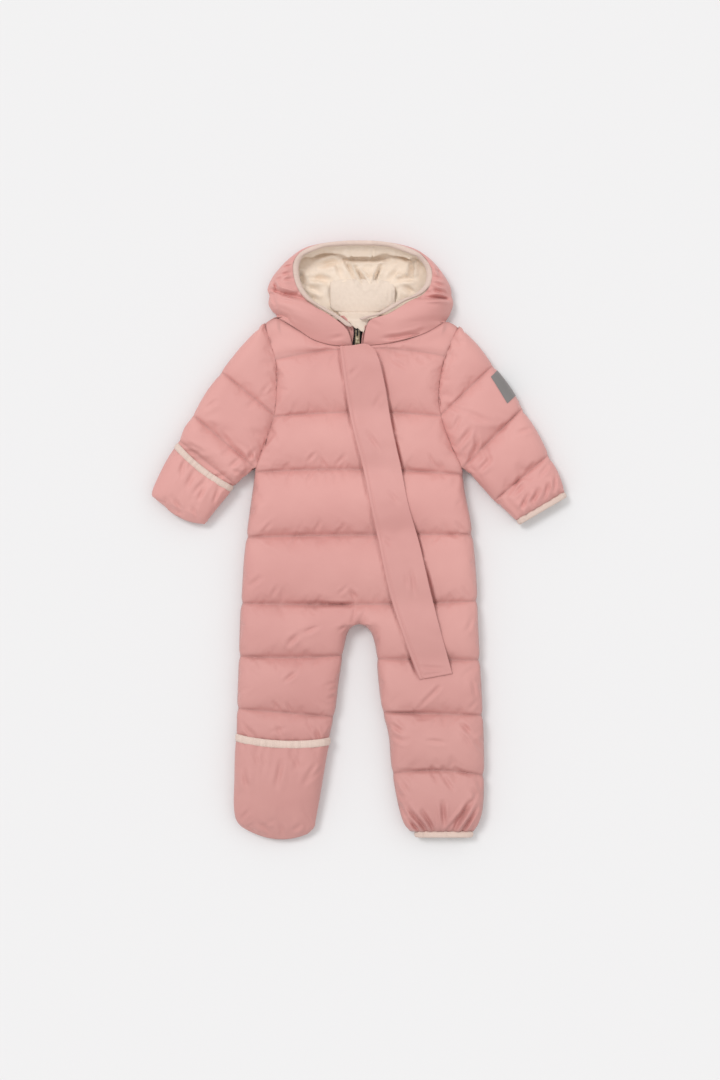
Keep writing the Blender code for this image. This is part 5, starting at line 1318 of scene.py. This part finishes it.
def settlePuffs():
    for piece, pressure, _ in puffs:
        startCloth(piece, pressure)
    for step in range(1, settling["frames"] + 1):
        scene.frame_set(step)
    for piece, _, lowest in puffs:
        endCloth(piece, lowest)
    scene.frame_set(1)
    for piece, strokes, share, inside in (
            (frontShell, bodyCreases, 0.42, None), (sleeveRight, sleeveCreases, 0.55, None),
            (sleeveLeft, sleeveCreases, 0.55, None), (mittenCover, coverCreases, 0.55, None),
            (footCover, coverCreases, 0.42, None), (hoodRight, hoodCreases, 0.4, liningRight),
            (hoodLeft, hoodCreases, 0.4, liningLeft)):
        pressFolds(piece, strokes, share, inside)
    paintSeamShade(frontShell, shoulderSeams)
    for piece, _, _ in puffs:
        piece.vertex_groups.clear()
        sharpenSeams(piece)
        turnEdges(piece, settling["paddedEdge"])
        smoothPiece(piece)


settlePuffs()
for piece in (neckFacing, chinGuard, neckLining, edgeRight, edgeLeft):
    turnEdges(piece, settling["thinEdge"])
print("cloth settled")


# placket over the zip

placket = dict(
    # y and x of the sewn edge, y and x of the free edge
    rows=(
        (262.2, 261, -27.4, 16.6), (257.6, 256.4, -26.9, 21.2), (250.4, 249.6, -25.9, 23.9),
        (238, 238, -24.2, 27.6), (205.9, 204.5, -19.8, 34.8), (151.9, 151.9, -10, 43.6), (96.5, 96.5, 4.5, 56),
        (49.3, 49.3, 13.8, 65.2), (-0.7, -0.7, 24.7, 79.5), (-65.5, -60.9, 38.5, 93.4),
        (-133, -124.9, 59.9, 109.8), (-185.6, -177.5, 80.2, 124.3)),
    crown=((0, 0.2), (0.39, 1.8), (0.74, 4.6), (0.89, 3), (1, 0)), across=44, down=225, thick=1.8, stitch=5.8,
    seam=1.25, length=450.0,
    # stretches where the free edge stands up: from y, to y, height
    lifts=((266, 120, 2.6), (110, 86, 1.4), (20, -130, 2.4)),
    folds=(
        (11, 146, 27, 122, 3, 1.4), (69, -40, 73.5, -70, 3, 1.5), (62, -46, 64, -60, 2.6, 0.9),
        (-14, 222, -4, 232, 3, 0.9), (40, 66, 52, 52, 3, 1), (30, 6, 44, -4, 3, 1.1),
        (78, -168, 118, -170.5, 2.2, 1.3), (28, 196, 20, 180, 3, 0.9)))


frontSurface = surfaceBelow(frontShell)


def frontHeight(x, y):
    best = meet
    for dx in (-5.0, 0.0, 5.0):
        for dy in (-7.0, 0.0, 7.0):
            hit = castDown(frontSurface, x + dx, y + dy)
            if hit is not None:
                best = max(best, hit.z / mm)
    return best


placketBase = {}


def evenBase(rounds):
    # the flap bridges the quilting, so the heights under it are smoothed along and across
    cut, steps = dict(placketBase), ((1, 0), (-1, 0), (0, 1), (0, -1), (0, 2), (0, -2))
    for _ in range(rounds):
        before = dict(placketBase)
        for (i, j), height in before.items():
            near = [before.get((i + di, j + dj), height) for di, dj in steps]
            placketBase[i, j] = max(mix(height, sum(near) / len(near), 0.6), cut[i, j] - 0.8)


def freeLift(y):
    return max(height * ease((top - y) / 18.0) * ease((y - foot) / 18.0)
               for top, foot, height in placket["lifts"])


def placketPlace(u, v):
    yRight, yLeft, xRight, xLeft = smoothPoint(placket["rows"], v * (len(placket["rows"]) - 1))
    x, y = mix(xRight, xLeft, u), mix(yRight, yLeft, u)
    nearTop = clamp(1 - v * 11.0 / 3.0)
    y += smoothValue(placket["crown"], u) * nearTop ** 2
    key = (round(u * placket["across"]), round(v * placket["down"]))
    if key not in placketBase:
        placketBase[key] = frontHeight(x, y)
    fromSeam = u * (xLeft - xRight)
    fromFoot = (1 - v) * placket["length"]
    z = placketBase[key] + 1.0 + 1.5 * min(rounding(fromSeam, 3.0), rounding(fromFoot, 4.0))
    z -= placket["seam"] * math.exp(-((fromSeam - placket["stitch"]) / 1.2) ** 2)
    z -= placket["seam"] * math.exp(-((fromFoot - placket["stitch"]) / 1.3) ** 2) * clamp((fromSeam - 6.0) / 2.0)
    z += 1.5 * ease((u - 0.4) / 0.3) * ease((y - 222.0) / 22.0)
    z += freeLift(y) * ease((u - 0.5) / 0.5) + creases(placket["folds"], x, y)
    return x, y, z + 0.5 * ripple(x, y, 16.0, 2.0) * pillow(u), 0.0


def buildPlacket():
    for i in range(placket["across"] + 1):
        for j in range(placket["down"] + 1):
            placketPlace(i / placket["across"], j / placket["down"])
    evenBase(10)
    grid = (placket["across"], placket["down"], placketPlace, (0.05, 0.45))
    piece = clothPiece("placketFlap", [grid], flapFinishShaded, (0, 0, 1))
    wall = piece.modifiers.new("wall", "SOLIDIFY")
    wall.thickness = placket["thick"] * mm
    wall.offset = -1.0
    smoothPiece(piece)
    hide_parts("placket")
    return piece


placketFlap = buildPlacket()
print("placket made")


# reflective patch over the left sleeve's fold

patch = dict(
    inner=((174.6, 219.4), (196.4, 183.6)), fold=((186.6, 231.6), (206.8, 193.4)), under=15.0, lift=0.7)


def patchPlace(u, v):
    inner, fold = mixPoint(*patch["inner"], v), mixPoint(*patch["fold"], v)
    out = (Vector(fold) - Vector(inner)).normalized()
    wide = math.dist(inner, fold)
    run = u * (wide + patch["under"])
    # rays go down on top of the sleeve, round its fold and up from below
    turn = clamp((run - wide + 7.0) / 14.0) * math.pi
    reach = wide + 2.0 - abs(run - wide)
    place = Vector((*(Vector(inner) + out * min(reach, wide - 4.0)), meet))
    way = Vector((*(out * math.sin(turn)), math.cos(turn)))
    hit = sleeveSurface.ray_cast((place + way * 60.0) * mm, -way)
    point = hit[0] / mm + hit[1] * patch["lift"] * (1 if hit[1].dot(way) > 0 else -1)
    return point.x, point.y, max(point.z, 0.0), 0.0


sleeveSurface = surfaceBelow(sleeveLeft)
sleevePatch = clothPiece("sleevePatch", [(44, 44, patchPlace, (0.03, 0.04))], patchFinish, (1.0, 0.5, 0.4))
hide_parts("sleeve_patch")
print("patch made")


# floor, lights and camera

def makeFloor():
    floor = bpy.data.meshes.new("floor")
    shape = bmesh.new()
    bmesh.ops.create_grid(shape, x_segments=1, y_segments=1, size=3.0)
    writeShape(shape, floor)
    sheet = bpy.data.objects.new("floor", floor)
    scene.collection.objects.link(sheet)
    finish, _, shader = newFinish("paleFloor", 0.9, specular=0.0)
    shader.inputs["Base Color"].default_value = (0.80, 0.80, 0.808, 1.0)
    floor.materials.append(finish)


def addSun(name, way, softness, power):
    light = bpy.data.lights.new(name, "SUN")
    light.energy = power
    light.angle = softness
    lamp = bpy.data.objects.new(name, light)
    lamp.rotation_euler = (-Vector(way)).to_track_quat("-Z", "Y").to_euler()
    scene.collection.objects.link(lamp)


makeFloor()
addSun("keyLight", (-0.42, 0.36, 0.86), 0.36, 1.12)
addSun("fillLight", (0.5, 0.4, 1.0), 1.2, 0.35)
world = bpy.data.worlds.new("studio")
world.use_nodes = True
world.node_tree.nodes["Background"].inputs["Color"].default_value = (1.0, 0.99, 0.98, 1.0)
world.node_tree.nodes["Background"].inputs["Strength"].default_value = 0.722
scene.world = world
scene.view_settings.view_transform = "Standard"

view = dict(height=3.0, lens=74.1, x=0.0004, y=0.002)
lens = bpy.data.cameras.new("camera")
lens.lens = view["lens"]
lens.sensor_width = 36.0
camera = bpy.data.objects.new("camera", lens)
camera.location = (view["x"], view["y"], view["height"] + meet * mm)
scene.collection.objects.link(camera)
scene.camera = camera
# metal finishes on the plain CAD slider and pull

for node, finish in (("zip_slider", blackFinish), ("zip_pull", pullFinish)):
    bpy.data.objects[node].material_slots[0].material = finish
print("metal finished")
